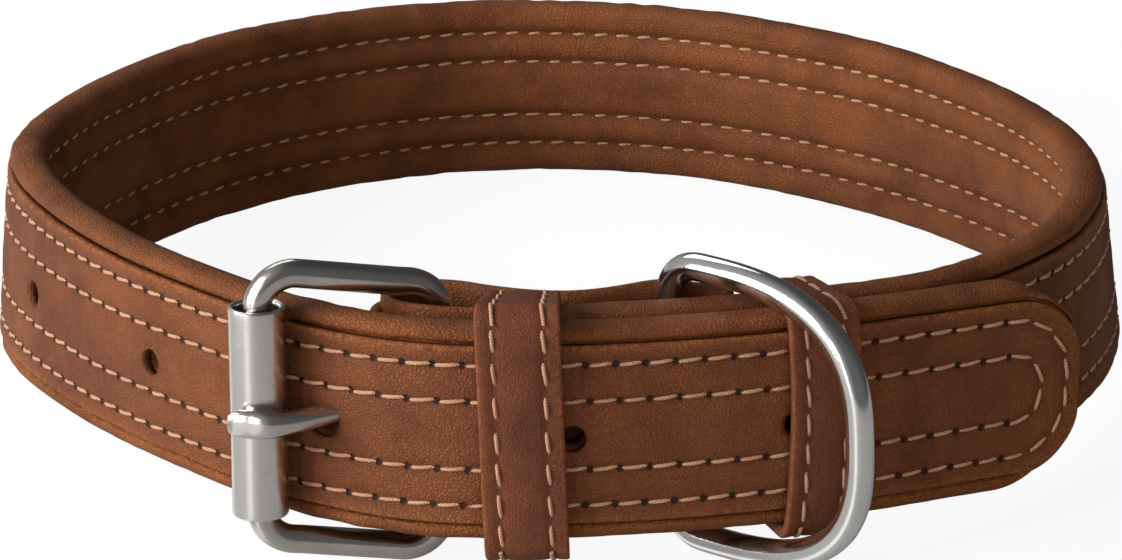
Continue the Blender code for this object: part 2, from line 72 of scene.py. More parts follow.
# Turn in degrees, radius in loop radii, lean of the top in strap heights.
LOOP_TABLE = [
    (262.0, 0.990, 0.000), (269.0, 0.985, 0.000), (275.0, 0.971, 0.000), (281.0, 0.970, 0.000),
    (289.0, 0.975, 0.000), (298.0, 0.991, 0.000), (307.0, 1.007, 0.026), (317.0, 1.006, 0.026),
    (330.0, 0.999, 0.000), (345.0, 0.987, -0.080), (360.0, 0.978, -0.170), (376.0, 0.961, -0.195),
    (392.0, 0.949, -0.145), (410.0, 0.974, -0.100), (430.0, 1.029, -0.100), (445.0, 1.064, -0.090),
    (460.0, 1.079, -0.030), (475.0, 1.062, 0.000), (492.0, 1.029, 0.030), (512.0, 0.990, 0.000),
    (530.0, 0.992, -0.042), (542.0, 0.998, -0.085), (554.0, 0.977, -0.090), (568.0, 0.954, -0.052),
    (580.0, 0.956, -0.020), (591.0, 0.975, -0.005), (601.0, 1.015, 0.000), (609.0, 1.051, 0.000),
    (618.0, 1.076, 0.000), (627.0, 1.068, 0.000), (638.0, 1.056, 0.000), (650.0, 1.057, 0.000),
    (658.0, 1.068, 0.000), (665.0, 1.087, 0.010), (671.0, 1.116, 0.020), (677.0, 1.166, 0.026),
]
# The sewn flap and the fold round the heel bar, flap end first.
FOLD_TABLE = [
    (288.2, 0.915), (285.2, 0.890), (281.9, 0.834), (278.0, 0.862), (272.0, 0.895), (267.0, 0.890),
    (262.5, 0.873), (258.5, 0.855), (254.6, 0.862), (252.1, 0.892), (251.6, 0.940), (253.2, 0.982),
    (256.2, 1.002),
]
PAD_TABLE = [(262.0, 0.02), (267.0, 0.50), (273.0, 1.00)]


def smooth_line(rows, samples):
    """Curve through all rows that also heeds each row's neighbours."""
    rows = np.asarray(rows, float)
    wide = np.vstack([rows[:1], rows, rows[-1:]])
    share = np.linspace(0.0, 1.0, samples, endpoint=False)[:, None]
    spans = []
    for before, start, end, after in zip(wide[:-3], wide[1:-2], wide[2:-1], wide[3:]):
        square = 2.0 * before - 5.0 * start + 4.0 * end - after
        cube = 3.0 * start - before - 3.0 * end + after
        spans.append(0.5 * (2.0 * start + (end - before) * share + square * share**2 + cube * share**3))
    return np.vstack(spans + [rows[-1:]])


def even_out(values, width):
    """Soften a run of values, keeping its ends in place."""
    reach = int(3 * width)
    kernel = np.exp(-0.5 * (np.arange(-reach, reach + 1) / width) ** 2)
    kernel /= kernel.sum()
    head = 2.0 * values[0] - values[reach:0:-1]
    tail = 2.0 * values[-1] - values[-2:-reach - 2:-1]
    return np.convolve(np.concatenate([head, values, tail]), kernel, "valid")


# %% The line itself
def seam_line():
    """Evenly spaced places along the seam: way, x, y, lean, turn and padding."""
    rows = []
    for turn, radius in FOLD_TABLE:
        angle = math.radians(turn)
        rows.append((radius * LOOP_RADIUS * math.cos(angle), radius * LOOP_RADIUS * math.sin(angle), 0, turn, 0))
    outward = (LINING_DEPTH - STRIP_THICKNESS) / 2.0
    turns, shares = zip(*PAD_TABLE)
    for turn, radius, lean in LOOP_TABLE:
        angle = math.radians(turn)
        reach = radius * LOOP_RADIUS + outward
        pad = float(np.interp(turn, turns, shares))
        rows.append((reach * math.cos(angle), reach * math.sin(angle), lean, turn, pad))
    run = smooth_line(rows, 60)
    steps = np.hypot(np.diff(run[:, 0]), np.diff(run[:, 1]))
    way = np.concatenate([[0.0], np.cumsum(steps)])
    even = np.arange(0.0, way[-1], 0.5 * MM)
    even[-1] = way[-1]
    line = np.stack([np.interp(even, way, run[:, k]) for k in range(5)], axis=1)
    soft = np.stack([even_out(line[:, k], 8.0) for k in range(3)], axis=1)
    tight = np.stack([even_out(line[:, k], 2.0) for k in range(3)], axis=1)
    calm = np.clip((line[:, 3] - 262.0) / 12.0, 0.0, 1.0)[:, None]
    line[:, :3] = tight + (soft - tight) * calm
    return even, line


WAY, LINE = seam_line()
LENGTH = WAY[-1]
slope = np.gradient(LINE[:, :2], axis=0)
slope /= np.linalg.norm(slope, axis=1)[:, None]
OUTWARD = np.stack([slope[:, 1], -slope[:, 0]], axis=1)
loop_start = np.flatnonzero(LINE[:, 3] < LOOP_TABLE[0][0])[-1] + 1
on_loop = np.arange(len(WAY)) >= loop_start
LOOP_TURNS = LINE[on_loop, 3]
LOOP_REACH = np.hypot(LINE[on_loop, 0], LINE[on_loop, 1])
print("strap line:", round(LENGTH, 4), "m in", len(WAY), "places")

# %% [markdown]
# ## Standing on the floor
# The solids were laid out level and then tipped to stand on the buckle and the back edge. The roller's
# joint in the record tells how: its axis was upright before the tipping. Reading it there keeps this
# script right when the solids are tipped a little differently.

# %% From the level layout to the standing collar
ROLLER_PLAN = Vector((-0.0519615, -0.1049056, 0.0202))
roller_joint = next(joint for joint in frame["joints"] if joint["name"] == "roller_spin")
ring_joint = next(joint for joint in frame["joints"] if joint["name"] == "ring_swing")
tilt = math.atan2(roller_joint["axis"][1], roller_joint["axis"][2])
tipping = Matrix.Rotation(-tilt, 4, "X")
STANDING = Matrix.Translation(Vector(roller_joint["pos_m"]) - tipping @ ROLLER_PLAN) @ tipping
STANDING_ARRAY = np.array(STANDING)


def stand(points):
    """Level places to standing places."""
    return np.asarray(points) @ STANDING_ARRAY[:3, :3].T + STANDING_ARRAY[:3, 3]


def strap_place(way, height, out):
    """Level place at a way along the strap, a height and a distance outward from the seam."""
    x, y, lean = (np.interp(way, WAY, LINE[:, k]) for k in range(3))
    nx, ny = (np.interp(way, WAY, OUTWARD[:, k]) for k in range(2))
    reach = out + lean * (height - STRAP_HEIGHT / 2.0)
    return np.stack([x + nx * reach, y + ny * reach, height + 0.0 * x], axis=-1)


def seam_radius(turn):
    """Distance of the seam from the loop's middle at a turn."""
    return np.interp(turn, LOOP_TURNS, LOOP_REACH)


def way_at(turn):
    """Way along the strap at a turn of the loop."""
    return float(np.interp(turn, LOOP_TURNS, WAY[on_loop]))


print("tipped by", round(math.degrees(tilt), 2), "degrees")

# %% [markdown]
# ## Mesh helpers
# Nearly every piece here is a section carried along a line, so one helper turns a grid of places into a
# closed mesh. Values that the materials need, such as how near a seam a place is, are stored on the
# mesh as attributes, because they are known exactly here and would be guesswork in a shader.


# %% Grid to mesh
def grid_piece(name, points, closed_run, values=None):
    """Closed mesh from a grid of places: rows run along the piece, columns go round it."""
    rows, columns = points.shape[:2]
    first = np.arange(rows if closed_run else rows - 1)
    index = np.arange(rows * columns).reshape(rows, columns)
    ahead = np.roll(index, -1, axis=0)[first]
    here = index[first]
    quads = np.stack([here, ahead, np.roll(ahead, -1, axis=1), np.roll(here, -1, axis=1)], axis=-1)
    mesh = bpy.data.meshes.new(name)
    faces = quads.reshape(-1, 4).tolist()
    if not closed_run:
        faces += [index[0].tolist(), index[-1][::-1].tolist()]
    mesh.from_pydata(points.reshape(-1, 3), [], faces)
    for key, value in (values or {}).items():
        attribute = mesh.attributes.new(key, "FLOAT", "POINT")
        attribute.data.foreach_set("value", np.broadcast_to(value, (rows, columns)).astype(np.float32).ravel())
    builder = bmesh.new()
    builder.from_mesh(mesh)
    bmesh.ops.triangulate(builder, faces=[face for face in builder.faces if len(face.verts) > 4])
    bmesh.ops.recalc_face_normals(builder, faces=builder.faces)
    for face in builder.faces:
        face.smooth = True
    builder.to_mesh(mesh)
    builder.free()
    piece = bpy.data.objects.new(name, mesh)
    bpy.context.scene.collection.objects.link(piece)
    return piece


def lattice(seed, x, y):
    """Smooth random field between -1 and 1 on a unit lattice."""
    table = np.random.default_rng(seed).uniform(-1.0, 1.0, (64, 64))
    x, y = np.broadcast_arrays(x, y)
    left, low = np.floor(x).astype(int), np.floor(y).astype(int)
    fx, fy = x - left, y - low
    fx, fy = fx * fx * (3 - 2 * fx), fy * fy * (3 - 2 * fy)
    corner = [[table[(left + i) % 64, (low + j) % 64] for j in (0, 1)] for i in (0, 1)]
    bottom = corner[0][0] + (corner[1][0] - corner[0][0]) * fx
    top = corner[0][1] + (corner[1][1] - corner[0][1]) * fx
    return bottom + (top - bottom) * fy


def hump(distance, width):
    """1 at no distance, falling smoothly to 0."""
    return np.exp(-(distance / width) ** 2)


# %% [markdown]
# ## Where the seams run
# Four rows of stitches run the whole strap. At the free tip the outer two join in a rounded end and so
# do the inner two. Distance to such a row is the distance to a long box with round corners, which one
# formula gives for the straight part and the tip alike.

# %% Seam rows
ROW_HEIGHTS = (12.6 * MM, 6.1 * MM)
ROW_END_GAPS = (2.7 * MM, 7.8 * MM)
ROW_CORNERS = (10.5 * MM, 5.2 * MM)
STITCH_PITCH = 5.1 * MM


def row_distance(way, height, row):
    """Distance from a seam row, in the strap's own flat layout."""
    corner = ROW_CORNERS[row]
    beyond = way - (LENGTH - ROW_END_GAPS[row]) + corner
    across = np.abs(height - STRAP_HEIGHT / 2.0) - ROW_HEIGHTS[row] + corner
    outside = np.hypot(np.maximum(beyond, 0.0), np.maximum(across, 0.0))
    return np.abs(outside + np.minimum(np.maximum(beyond, across), 0.0) - corner)


def seam_mask(way, height, width):
    """1 on a seam, 0 away from it."""
    return np.maximum(*(hump(row_distance(way, height, row), width) for row in (0, 1)))


def end_loss(distance, corner):
    """Half height lost to a round corner near the tip."""
    short = np.maximum(corner - np.maximum(distance, 0.0), 0.0)
    return corner - np.sqrt(corner**2 - short**2)


def stations(step, tip_step):
    """Ways along the strap, closer together at the fold and at the tip."""
    fold_end = way_at(266.0)
    fold = np.arange(0.0, fold_end, 0.8 * MM)
    loop = np.arange(fold_end, LENGTH - 16.0 * MM, step)
    tip = LENGTH - 16.0 * MM * (1.0 - np.linspace(0.0, 1.0, int(16.0 * MM / tip_step))) ** 1.35
    return np.concatenate([fold, loop, tip])


# %% [markdown]
# ## The outer strip
# A belt maker cuts this strip from a 2 mm side, eases its edges and sews it down, so it swells a little
# between the seams and dips along them. The section is drawn once with fine steps on the outer face and
# few at the back, then carried along the strap; each seam pulls the surface in by a third of a
# millimetre.

# %% Outer strip
HOLE_DENT = 0.45 * MM
HOLE_DROP = 0.7 * MM
HOLE_TURNS = [559.2, 585.4, 630.9, 650.9]
TONGUE_HOLE_TURN = 608.9


def strip_grid():
    """Places and masks of the strip's surface."""
    way = stations(1.25 * MM, 0.35 * MM)[:, None]
    to_tip = LENGTH - way
    half = STRIP_HEIGHT / 2.0 - end_loss(to_tip, TIP_CORNER)
    ease = 0.62 * MM
    arc = np.radians(np.linspace(90.0, 0.0, 5))
    top = 1.0 - (1.0 - np.cos(arc)) * 0.0
    face = np.linspace(1.0, -1.0, 47)[None, :]
    height = face * (half - ease)
    out = np.full_like(height, STRIP_THICKNESS)
    corner_up = half - ease + ease * np.sin(arc)[None, :]
    corner_out = STRIP_THICKNESS - ease + ease * np.cos(arc)[None, :] + 0.0 * half
    back = np.linspace(-1.0, 1.0, 13)[None, :]
    back_height = back * (half - 0.15 * MM)
    height = np.concatenate([corner_up[:, :-1], height, -corner_up[:, ::-1][:, 1:], back_height], axis=1)
    out = np.concatenate([corner_out[:, :-1], out, corner_out[:, ::-1][:, 1:], 0.0 * back_height], axis=1)
    level = height + STRAP_HEIGHT / 2.0
    front = np.clip(out / STRIP_THICKNESS * 2.0 - 1.0, 0.0, 1.0)
    seam = seam_mask(way, level, 0.85 * MM)
    broad = seam_mask(way, level, 2.4 * MM)
    # The edge mask marks the rims, which the shader lightens: wear and a painted highlight.
    edge = hump(half - np.abs(height), 1.1 * MM)
    out = out - front * (0.30 * MM * seam + 0.12 * MM * broad)
    out = out + front * 0.10 * MM * lattice(3, way / (9.0 * MM), level / (7.0 * MM))
    out = out + front * 0.05 * MM * lattice(4, way / (3.1 * MM), level / (2.6 * MM))
    ripple = lattice(5, way / STITCH_PITCH * 2.0, level / (30.0 * MM))
    out = out + front * 0.06 * MM * broad * ripple
    for turn in HOLE_TURNS:
        near = np.hypot(way - way_at(turn), level - STRAP_HEIGHT / 2.0 + HOLE_DROP)
        out = out - front * HOLE_DENT * hump(near - 1.6 * MM, 2.0 * MM)
    near = np.hypot((way - way_at(TONGUE_HOLE_TURN)) / 1.3, level - STRAP_HEIGHT / 2.0)
    out = out - front * 0.8 * MM * hump(near - 1.0 * MM, 4.2 * MM)
    close = np.clip(1.0 - to_tip / ease, 0.0, 1.0)
    out = out - front * ease * (1.0 - np.sqrt(1.0 - close**2))
    points = strap_place(way + 0.0 * level, level, out + SEAM_GAP / 2.0)
    return points, {"seam": seam * front, "edge": edge, "way": way + 0.0 * level, "level": level}


points, masks = strip_grid()
strip = grid_piece("strap_strip", stand(points), False, masks)
print("strip faces:", len(strip.data.polygons))

# %% [markdown]
# ## The padded lining
# Soft leather is wrapped over foam and its edges stand proud as round rolls. The section could be
# simulated, but its form is regular and has to keep clear of buckle and keepers, so it is a smooth
# closed spline through named places: crease, roll, neck face and the channels that the seams pull in.
# Fine upright wrinkles then crowd where the loop bends most.

# %% Lining section
# Upper half: way out and way in in millimetres, and the height as a share of the roll or of the face.
LINING_FACE = [
    (-0.18, "face", 0.00), (-0.18, "face", 0.45), (-0.18, "face", 0.97),
    (-0.10, "roll", 0.03), (0.75, "roll", 0.02), (1.60, "roll", 0.16), (1.72, "roll", 0.52),
    (1.30, "roll", 0.84), (0.35, "roll", 1.03), (-1.00, "roll", 1.13), (-2.45, "roll", 1.13),
    (-3.90, "roll", 0.99), (-5.05, "roll", 0.66), (-5.40, "roll", 0.25), (-5.30, "face", 0.93),
    (-5.00, "face", 0.85), (-3.20, "face", 0.77), (-5.00, "face", 0.69), (-5.25, "face", 0.57),
    (-5.00, "face", 0.45), (-3.20, "face", 0.373), (-5.00, "face", 0.30), (-5.35, "face", 0.17),
]


def spline_weights(count, fine):
    """Weights that turn a closed ring of control places into a smooth closed ring."""
    weights = np.zeros((fine, count))
    for row in range(fine):
        at = row * count / fine
        base, t = int(at), at - int(at)
        parts = ((1 - t) ** 3, 3 * t**3 - 6 * t**2 + 4, -3 * t**3 + 3 * t**2 + 3 * t + 1, t**3)
        for offset, part in zip((-1, 0, 1, 2), parts):
            weights[row, (base + offset) % count] += part / 6.0
    return weights


def lining_grid():
    """Places and masks of the lining's surface."""
    way = stations(1.3 * MM, 0.4 * MM)
    way = way[way < LENGTH - LINING_SETBACK]
    to_tip = LENGTH - way
    pad = np.interp(way, WAY, LINE[:, 4])
    strip_half = STRIP_HEIGHT / 2.0 - end_loss(to_tip, TIP_CORNER)
    half = STRAP_HEIGHT / 2.0 - end_loss(to_tip - LINING_SETBACK, LINING_CORNER)
    loss = end_loss(to_tip, TIP_CORNER) / TIP_CORNER
    crease = strip_half + SEAM_GAP * (1.0 + 3.5 * loss)
    roll = np.maximum(half - crease, 0.9 * MM)
    full_roll = (STRAP_HEIGHT - STRIP_HEIGHT) / 2.0 - SEAM_GAP
    slim = (BARE_DEPTH + (LINING_DEPTH - BARE_DEPTH) * pad) / LINING_DEPTH
    swell = np.maximum(pad, 0.1) * np.minimum(roll / full_roll, 1.0)
    upper = []
    for out, part, share in LINING_FACE:
        rise = crease + share * roll if part == "roll" else share * crease
        way_out = out * MM * (swell if out > 0.0 else (slim if out < -0.5 else 1.0))
        upper.append(np.stack([way_out + 0.0 * way, rise], axis=-1))
    lower = [np.stack([ring[:, 0], -ring[:, 1]], axis=-1) for ring in upper[:0:-1]]
    control = np.stack(upper + lower, axis=1)
    weights = spline_weights(control.shape[1], 112)
    ring = np.einsum("fc,scd->sfd", weights, control)
    return way[:, None], pad[:, None], ring, half[:, None]


way, pad, ring, half = lining_grid()
out, rise = ring[..., 0], ring[..., 1]
level = rise + STRAP_HEIGHT / 2.0
bend = np.gradient(np.unwrap(np.arctan2(OUTWARD[:, 1], OUTWARD[:, 0])), WAY)
bend = np.interp(way, WAY, even_out(bend, 12.0)) * LOOP_RADIUS
inner = np.clip((-out - 1.2 * MM) / (3.0 * MM), 0.0, 1.0)
rolled = np.clip((np.abs(rise) - 15.6 * MM) / (1.6 * MM), 0.0, 1.0)
seam = seam_mask(way, level, 0.9 * MM) * inner
crowd = np.clip(bend - 0.55, 0.0, 1.2) * pad
wrinkle = lattice(11, way / (2.1 * MM), level / (11.0 * MM)) * 0.6 + lattice(12, way / (4.6 * MM), level / (16.0 * MM))
puff = lattice(13, way / (14.0 * MM), level / (9.0 * MM))
shift = 0.10 * MM * wrinkle * (0.35 + crowd) * np.maximum(inner * 0.9, rolled) + 0.12 * MM * puff * inner
stitch_pull = 0.10 * MM * np.cos(2.0 * np.pi * way / STITCH_PITCH) * seam_mask(way, level, 2.6 * MM) * inner
out = out + (shift + stitch_pull) * pad
rise = rise + np.sign(rise) * 0.16 * MM * rolled * pad * lattice(14, way / (3.0 * MM), out / (6.0 * MM)) * (0.35 + crowd)
# Painted highlight: the outward side of the roll beside the crease is lightened orange in the shader.
roll_highlight_mask = hump(np.abs(rise) - STRIP_HEIGHT / 2.0 - 0.2 * MM, 0.7 * MM) * np.clip(out / MM + 0.6, 0.0, 1.0)
points = strap_place(way + 0.0 * rise, rise + STRAP_HEIGHT / 2.0, out)
lining_masks = {"seam": seam, "edge": roll_highlight_mask, "way": way + 0.0 * rise, "level": rise + STRAP_HEIGHT / 2.0}
lining = grid_piece("strap_lining", stand(points), False, lining_masks)
print("lining faces:", len(lining.data.polygons))

# %% [markdown]
# ## Punched holes
# The holes are punched after sewing, straight through strip and lining, so they are cut here the same
# way: one mesh with all punches, subtracted from both layers at once.


# %% Punches
def drill(turn, radius, stretch, depth_in, depth_out, shift=0.0):
    """Places of a round punch standing in the strap at a turn."""
    way = way_at(turn) + shift
    angle = np.radians(np.arange(0, 360, 12))
    along = way + radius * stretch * np.cos(angle)
    height = STRAP_HEIGHT / 2.0 - HOLE_DROP + radius * np.sin(angle)
    middle = strap_place(np.array([way]), np.array([STRAP_HEIGHT / 2.0]), np.array([0.0]))[0]
    nx, ny = (np.interp(way, WAY, OUTWARD[:, k]) for k in range(2))
    side = np.array([-ny, nx, 0.0])
    rings = []
    for out in (-depth_in, depth_out):
        centre = middle + np.array([nx, ny, 0.0]) * out
        ring = centre + side * ((along - way)[:, None]) + np.array([0.0, 0.0, 1.0]) * ((height - STRAP_HEIGHT / 2.0)[:, None])
        rings.append(ring)
    return np.stack(rings)


def punch(pieces, punches):
    """Cut all punches out of the pieces."""
    cutters = [grid_piece("punch", stand(grid), False) for grid in punches]
    joined = cutters[0]
    with bpy.context.temp_override(active_object=joined, object=joined, selected_objects=cutters, selected_editable_objects=cutters):
        bpy.ops.object.join()
    for piece in pieces:
        cut = piece.modifiers.new("punched", "BOOLEAN")
        cut.operation = "DIFFERENCE"
        cut.solver = "EXACT"
        cut.object = joined
        bpy.context.view_layer.update()
        graph = bpy.context.evaluated_depsgraph_get()
        mesh = bpy.data.meshes.new_from_object(piece.evaluated_get(graph), preserve_all_data_layers=True, depsgraph=graph)
        piece.modifiers.clear()
        piece.data = mesh
    bpy.data.objects.remove(joined)


SLOT_TURNS = [249.0, 251.5, 254.0, 256.5, 259.0, 261.5, 264.0]
SLOT_HEIGHT = 6.2 * MM
SLOT_MIDDLE = 19.8 * MM
SLOT_INNER = 0.915
SLOT_ROOM = 0.34 * MM


def fold_slot():
    """Places of the block that clears the fold round the tongue's eye."""
    rings = []
    for turn in SLOT_TURNS:
        outer = seam_radius(turn + 360.0) - SEAM_GAP / 2.0 - LINING_DEPTH - SLOT_ROOM
        inner = SLOT_INNER * LOOP_RADIUS
        angle = math.radians(turn)
        ring = [(radius * math.cos(angle), radius * math.sin(angle), SLOT_MIDDLE + rise * SLOT_HEIGHT)
                for radius, rise in ((inner, -0.5), (outer, -0.5), (outer, 0.5), (inner, 0.5))]
        rings.append(ring)
    return np.array(rings, dtype=float)


punches = [drill(turn, 2.45 * MM, 1.0, 7.0 * MM, 4.0 * MM) for turn in HOLE_TURNS]
punches.append(drill(TONGUE_HOLE_TURN, 2.9 * MM, 1.25, 7.5 * MM, 4.0 * MM, -0.2 * MM))
punch([strip, lining], punches)
punch([strip, lining], [fold_slot()])
print("punched:", len(punches), "holes; strip", len(strip.data.polygons), "lining", len(lining.data.polygons))

# %% [markdown]
# ## Leather keepers
# A keeper is a strip bent into a flat ring and sewn to itself. Its mesh is a rounded box carried across
# the keeper's width, with eased edges and a shallow dent under each row of stitches. The band follows
# the strap's curve, so that it lies on both layers all the way round.

# %% Keepers
KEEPER_THICKNESS = 1.9 * MM
KEEPER_FRONT_CORNER = 3.4 * MM
KEEPER_BACK_CORNER = 4.8 * MM
KEEPER_ROOM = 0.66 * MM
KEEPER_END_ROOM = 0.5 * MM
KEEPER_MARGIN = 2.85 * MM


def box_walk(half_out, half_up):
    """Rounded box walked round: centre out and up, normal out and up, and corner radius for each step."""
    rows = []
    spots = [(1, 1, 0.0), (-1, 1, 90.0), (-1, -1, 180.0), (1, -1, 270.0)]
    for index, (out, up, start) in enumerate(spots):
        after_out, after_up, after = spots[(index + 1) % 4]
        corner = KEEPER_FRONT_CORNER if out > 0 else KEEPER_BACK_CORNER
        after_corner = KEEPER_FRONT_CORNER if after_out > 0 else KEEPER_BACK_CORNER
        begin = np.array([out * (half_out - corner), up * (half_up - corner), corner])
        end = np.array([after_out * (half_out - after_corner), after_up * (half_up - after_corner), after_corner])
        for step in range(9):
            angle = math.radians(start + 90.0 * step / 8.0)
            rows.append((begin[0], begin[1], math.cos(angle), math.sin(angle), corner))
        count = max(2, int(np.linalg.norm(end - begin) / (1.1 * MM)))
        for share in np.linspace(0.0, 1.0, count)[1:-1]:
            spot = begin + (end - begin) * share
            rows.append((spot[0], spot[1], math.cos(angle), math.sin(angle), spot[2]))
    return np.array(rows)


def keeper_section(width):
    """Across and depth of the band's own section, walked round."""
    half, thick, ease = width / 2.0, KEEPER_THICKNESS, 0.55 * MM
    arc = np.radians(np.linspace(0.0, 90.0, 5))
    face = np.linspace(-1.0, 1.0, 27) * (half - ease)
    across = np.concatenate([face, half - ease + ease * np.sin(arc)[1:]])
    depth = np.concatenate([0.0 * face, ease - ease * np.cos(arc)[1:]])
    back = np.linspace(1.0, -1.0, 7) * (half - 0.2 * MM)
    across = np.concatenate([across, back, -(half - ease) - ease * np.cos(arc)[:-1]])
    depth = np.concatenate([depth, 0.0 * back + thick, ease - ease * np.sin(arc)[:-1]])
    return across, depth


def keeper_point(turn, shape, across, depth, walk, half_mid):
    """Level place on a keeper at a step of its outline walk."""
    out, up, normal_out, normal_up, corner = (walk[:, k:k + 1] for k in range(5))
    if np.ndim(depth) == 0:
        out, up, normal_out, normal_up, corner = walk[:, :5].T
    front_seam = seam_radius(turn + 360.0)
    here = turn + np.degrees(across / front_seam)
    front = seam_radius(here + 360.0) + SEAM_GAP / 2.0 + STRIP_THICKNESS + KEEPER_ROOM + KEEPER_THICKNESS
    back = seam_radius(here) - SEAM_GAP / 2.0 - LINING_DEPTH - KEEPER_ROOM - KEEPER_THICKNESS
    half_out, middle = (front - back) / 2.0, (front + back) / 2.0
    slant, bow, lift, sag = shape
    radius = middle + out * half_out / half_mid + normal_out * (corner - depth)
    front_share = np.clip((out / half_mid + 0.7) / 1.4, 0.0, 1.0)
    stretch = np.clip(up / (13.0 * MM), -1.0, 1.0)
    loose = front_share * np.where(stretch > 0.0, lift * stretch, sag * stretch)
    height = STRAP_HEIGHT / 2.0 + up + loose + normal_up * (corner - depth)
    level = (height - STRAP_HEIGHT / 2.0) / (STRAP_HEIGHT / 2.0)
    angle = np.radians(here + np.degrees((slant * level / 2.0 - bow * level * level) / front_seam))
    return np.stack([radius * np.cos(angle), radius * np.sin(angle), height], axis=-1)


def keeper_walk(turn):
    """Outline walk of a keeper at its middle."""
    front = seam_radius(turn + 360.0) + SEAM_GAP / 2.0 + STRIP_THICKNESS + KEEPER_ROOM + KEEPER_THICKNESS
    back = seam_radius(turn) - SEAM_GAP / 2.0 - LINING_DEPTH - KEEPER_ROOM - KEEPER_THICKNESS
    half_up = STRAP_HEIGHT / 2.0 + KEEPER_END_ROOM + KEEPER_THICKNESS
    return box_walk((front - back) / 2.0, half_up), (front - back) / 2.0


def keeper(name, turn, width, shape, seed):
    """One keeper as a closed band."""
    walk, half_mid = keeper_walk(turn)
    across, depth = keeper_section(width)
    across, depth = across[None, :], depth[None, :] + 0.0 * walk[:, :1]
    outer = np.clip(1.0 - depth / (0.8 * MM), 0.0, 1.0)
    seam_line = width / 2.0 - KEEPER_MARGIN
    seam = hump(np.abs(across) - seam_line, 0.75 * MM)
    broad = hump(np.abs(across) - seam_line, 2.0 * MM)
    height = walk[:, 1:2] + walk[:, 3:4] * walk[:, 4:5]
    reach = walk[:, 0:1] + walk[:, 2:3] * walk[:, 4:5]
    wave = lattice(seed, across / (5.0 * MM), (height + reach) / (6.0 * MM))
    dent = outer * (0.26 * MM * seam + 0.10 * MM * broad + 0.10 * MM + 0.09 * MM * wave)
    # The edge band is lightened in the shader: wear and a painted highlight.
    edge_wear_and_highlight = hump(width / 2.0 - np.abs(across), 0.8 * MM) * (0.4 + 0.6 * outer)
    points = keeper_point(turn, shape, across, depth + dent, walk, half_mid)
    piece = grid_piece(name, stand(points), True, {"seam": seam * outer, "edge": edge_wear_and_highlight, "front": outer})
    print(name, "faces:", len(piece.data.polygons))
    return piece


# Name, turn, width, then slant, bow, lift and sag of the band, and the seed of its waves.
KEEPERS = [
    ("keeper_by_buckle", 266.8, 14.0 * MM, (-1.5 * MM, 0.0, 2.4 * MM, 1.2 * MM), 21),
    ("keeper_by_tip", 293.0, 12.4 * MM, (0.0, 1.0 * MM, 0.0, 0.0), 22),
]
keepers = [keeper(*row) for row in KEEPERS]

# %% [markdown]
# ## Buckle, roller and lead ring
# All metal is round wire bent to shape, with a rolled tube on the front bar. A curve object with a bevel
# would do for the wire, but the tongue's tip is forged flat, so one sweep with its own half sizes at
# each place makes frame, tongue and ring alike.

# %% Wire sweeps
WIRE = 5.0 * MM
CLEARANCE = 0.34 * MM
FRAME_HEIGHT = 48.5 * MM
FRAME_MIDDLE = 20.2 * MM
FRAME_CORNER = 6.5 * MM
FRAME_DROP = 2.8 * MM
ROLLER_DIAMETER = 9.8 * MM
ROLLER_WALL = 0.9 * MM
ROLLER_LENGTH = 37.7 * MM
UP = np.array([0.0, 0.0, 1.0])


def unit(vectors):
    """Vectors of length one."""
    return vectors / np.linalg.norm(vectors, axis=-1, keepdims=True)


def sweep(name, points, plane, sizes, closed, sides=26):
    """Wire along points; sizes are half sizes across the plane and in it."""
    points = np.asarray(points, float)
    sizes = np.broadcast_to(sizes, (len(points), 2))
    if closed:
        along = np.roll(points, -1, axis=0) - np.roll(points, 1, axis=0)
    else:
        along = np.gradient(points, axis=0)
    side = unit(np.cross(unit(along), plane))
    angle = np.radians(np.arange(sides) * 360.0 / sides)[None, :, None]
    across = plane * np.cos(angle) * sizes[:, 0][:, None, None]
    grid = points[:, None, :] + across + side[:, None, :] * np.sin(angle) * sizes[:, 1][:, None, None]
    piece = grid_piece(name, stand(grid), closed)
    print(name, "faces:", len(piece.data.polygons))
    return piece


def level_point(turn, radius):
    """Level place by turn and radius, on the floor."""
    angle = math.radians(turn)
    return np.array([radius * math.cos(angle), radius * math.sin(angle), 0.0])


def resample(points, step, closed):
    """Even steps along a line."""
    points = np.asarray(points, float)
    if closed:
        points = np.vstack([points, points[:1]])
    way = np.concatenate([[0.0], np.cumsum(np.linalg.norm(np.diff(points, axis=0), axis=1))])
    even = np.linspace(0.0, way[-1], max(8, int(way[-1] / step)), endpoint=not closed)
    return np.stack([np.interp(even, way, points[:, k]) for k in range(3)], axis=1)


roller_foot = np.array(ROLLER_PLAN) * (1.0, 1.0, 0.0)
heel_face = seam_radius(262.0) - SEAM_GAP / 2.0 - BARE_DEPTH
heel_foot = level_point(258.1, heel_face - 2.0 * CLEARANCE - WIRE / 2.0)
print("roller foot", np.round(roller_foot, 5), "heel foot", np.round(heel_foot, 5))

# %% Frame, roller and tongue
TONGUE_WIRE = 4.1 * MM
TONGUE_MIDDLE = 19.8 * MM
TONGUE_EYE_SHARE = 0.36
TONGUE_TABLE = [
    (0.190, 0.706, 0.50, 0.46), (0.354, 0.430, 0.50, 0.50), (0.592, 0.600, 0.50, 0.50),
    (0.833, 1.200, 0.51, 0.49), (0.961, 1.440, 0.58, 0.40), (1.076, 1.230, 0.62, 0.27),
    (1.150, 1.010, 0.58, 0.24), (1.176, 0.944, 0.44, 0.18),
]


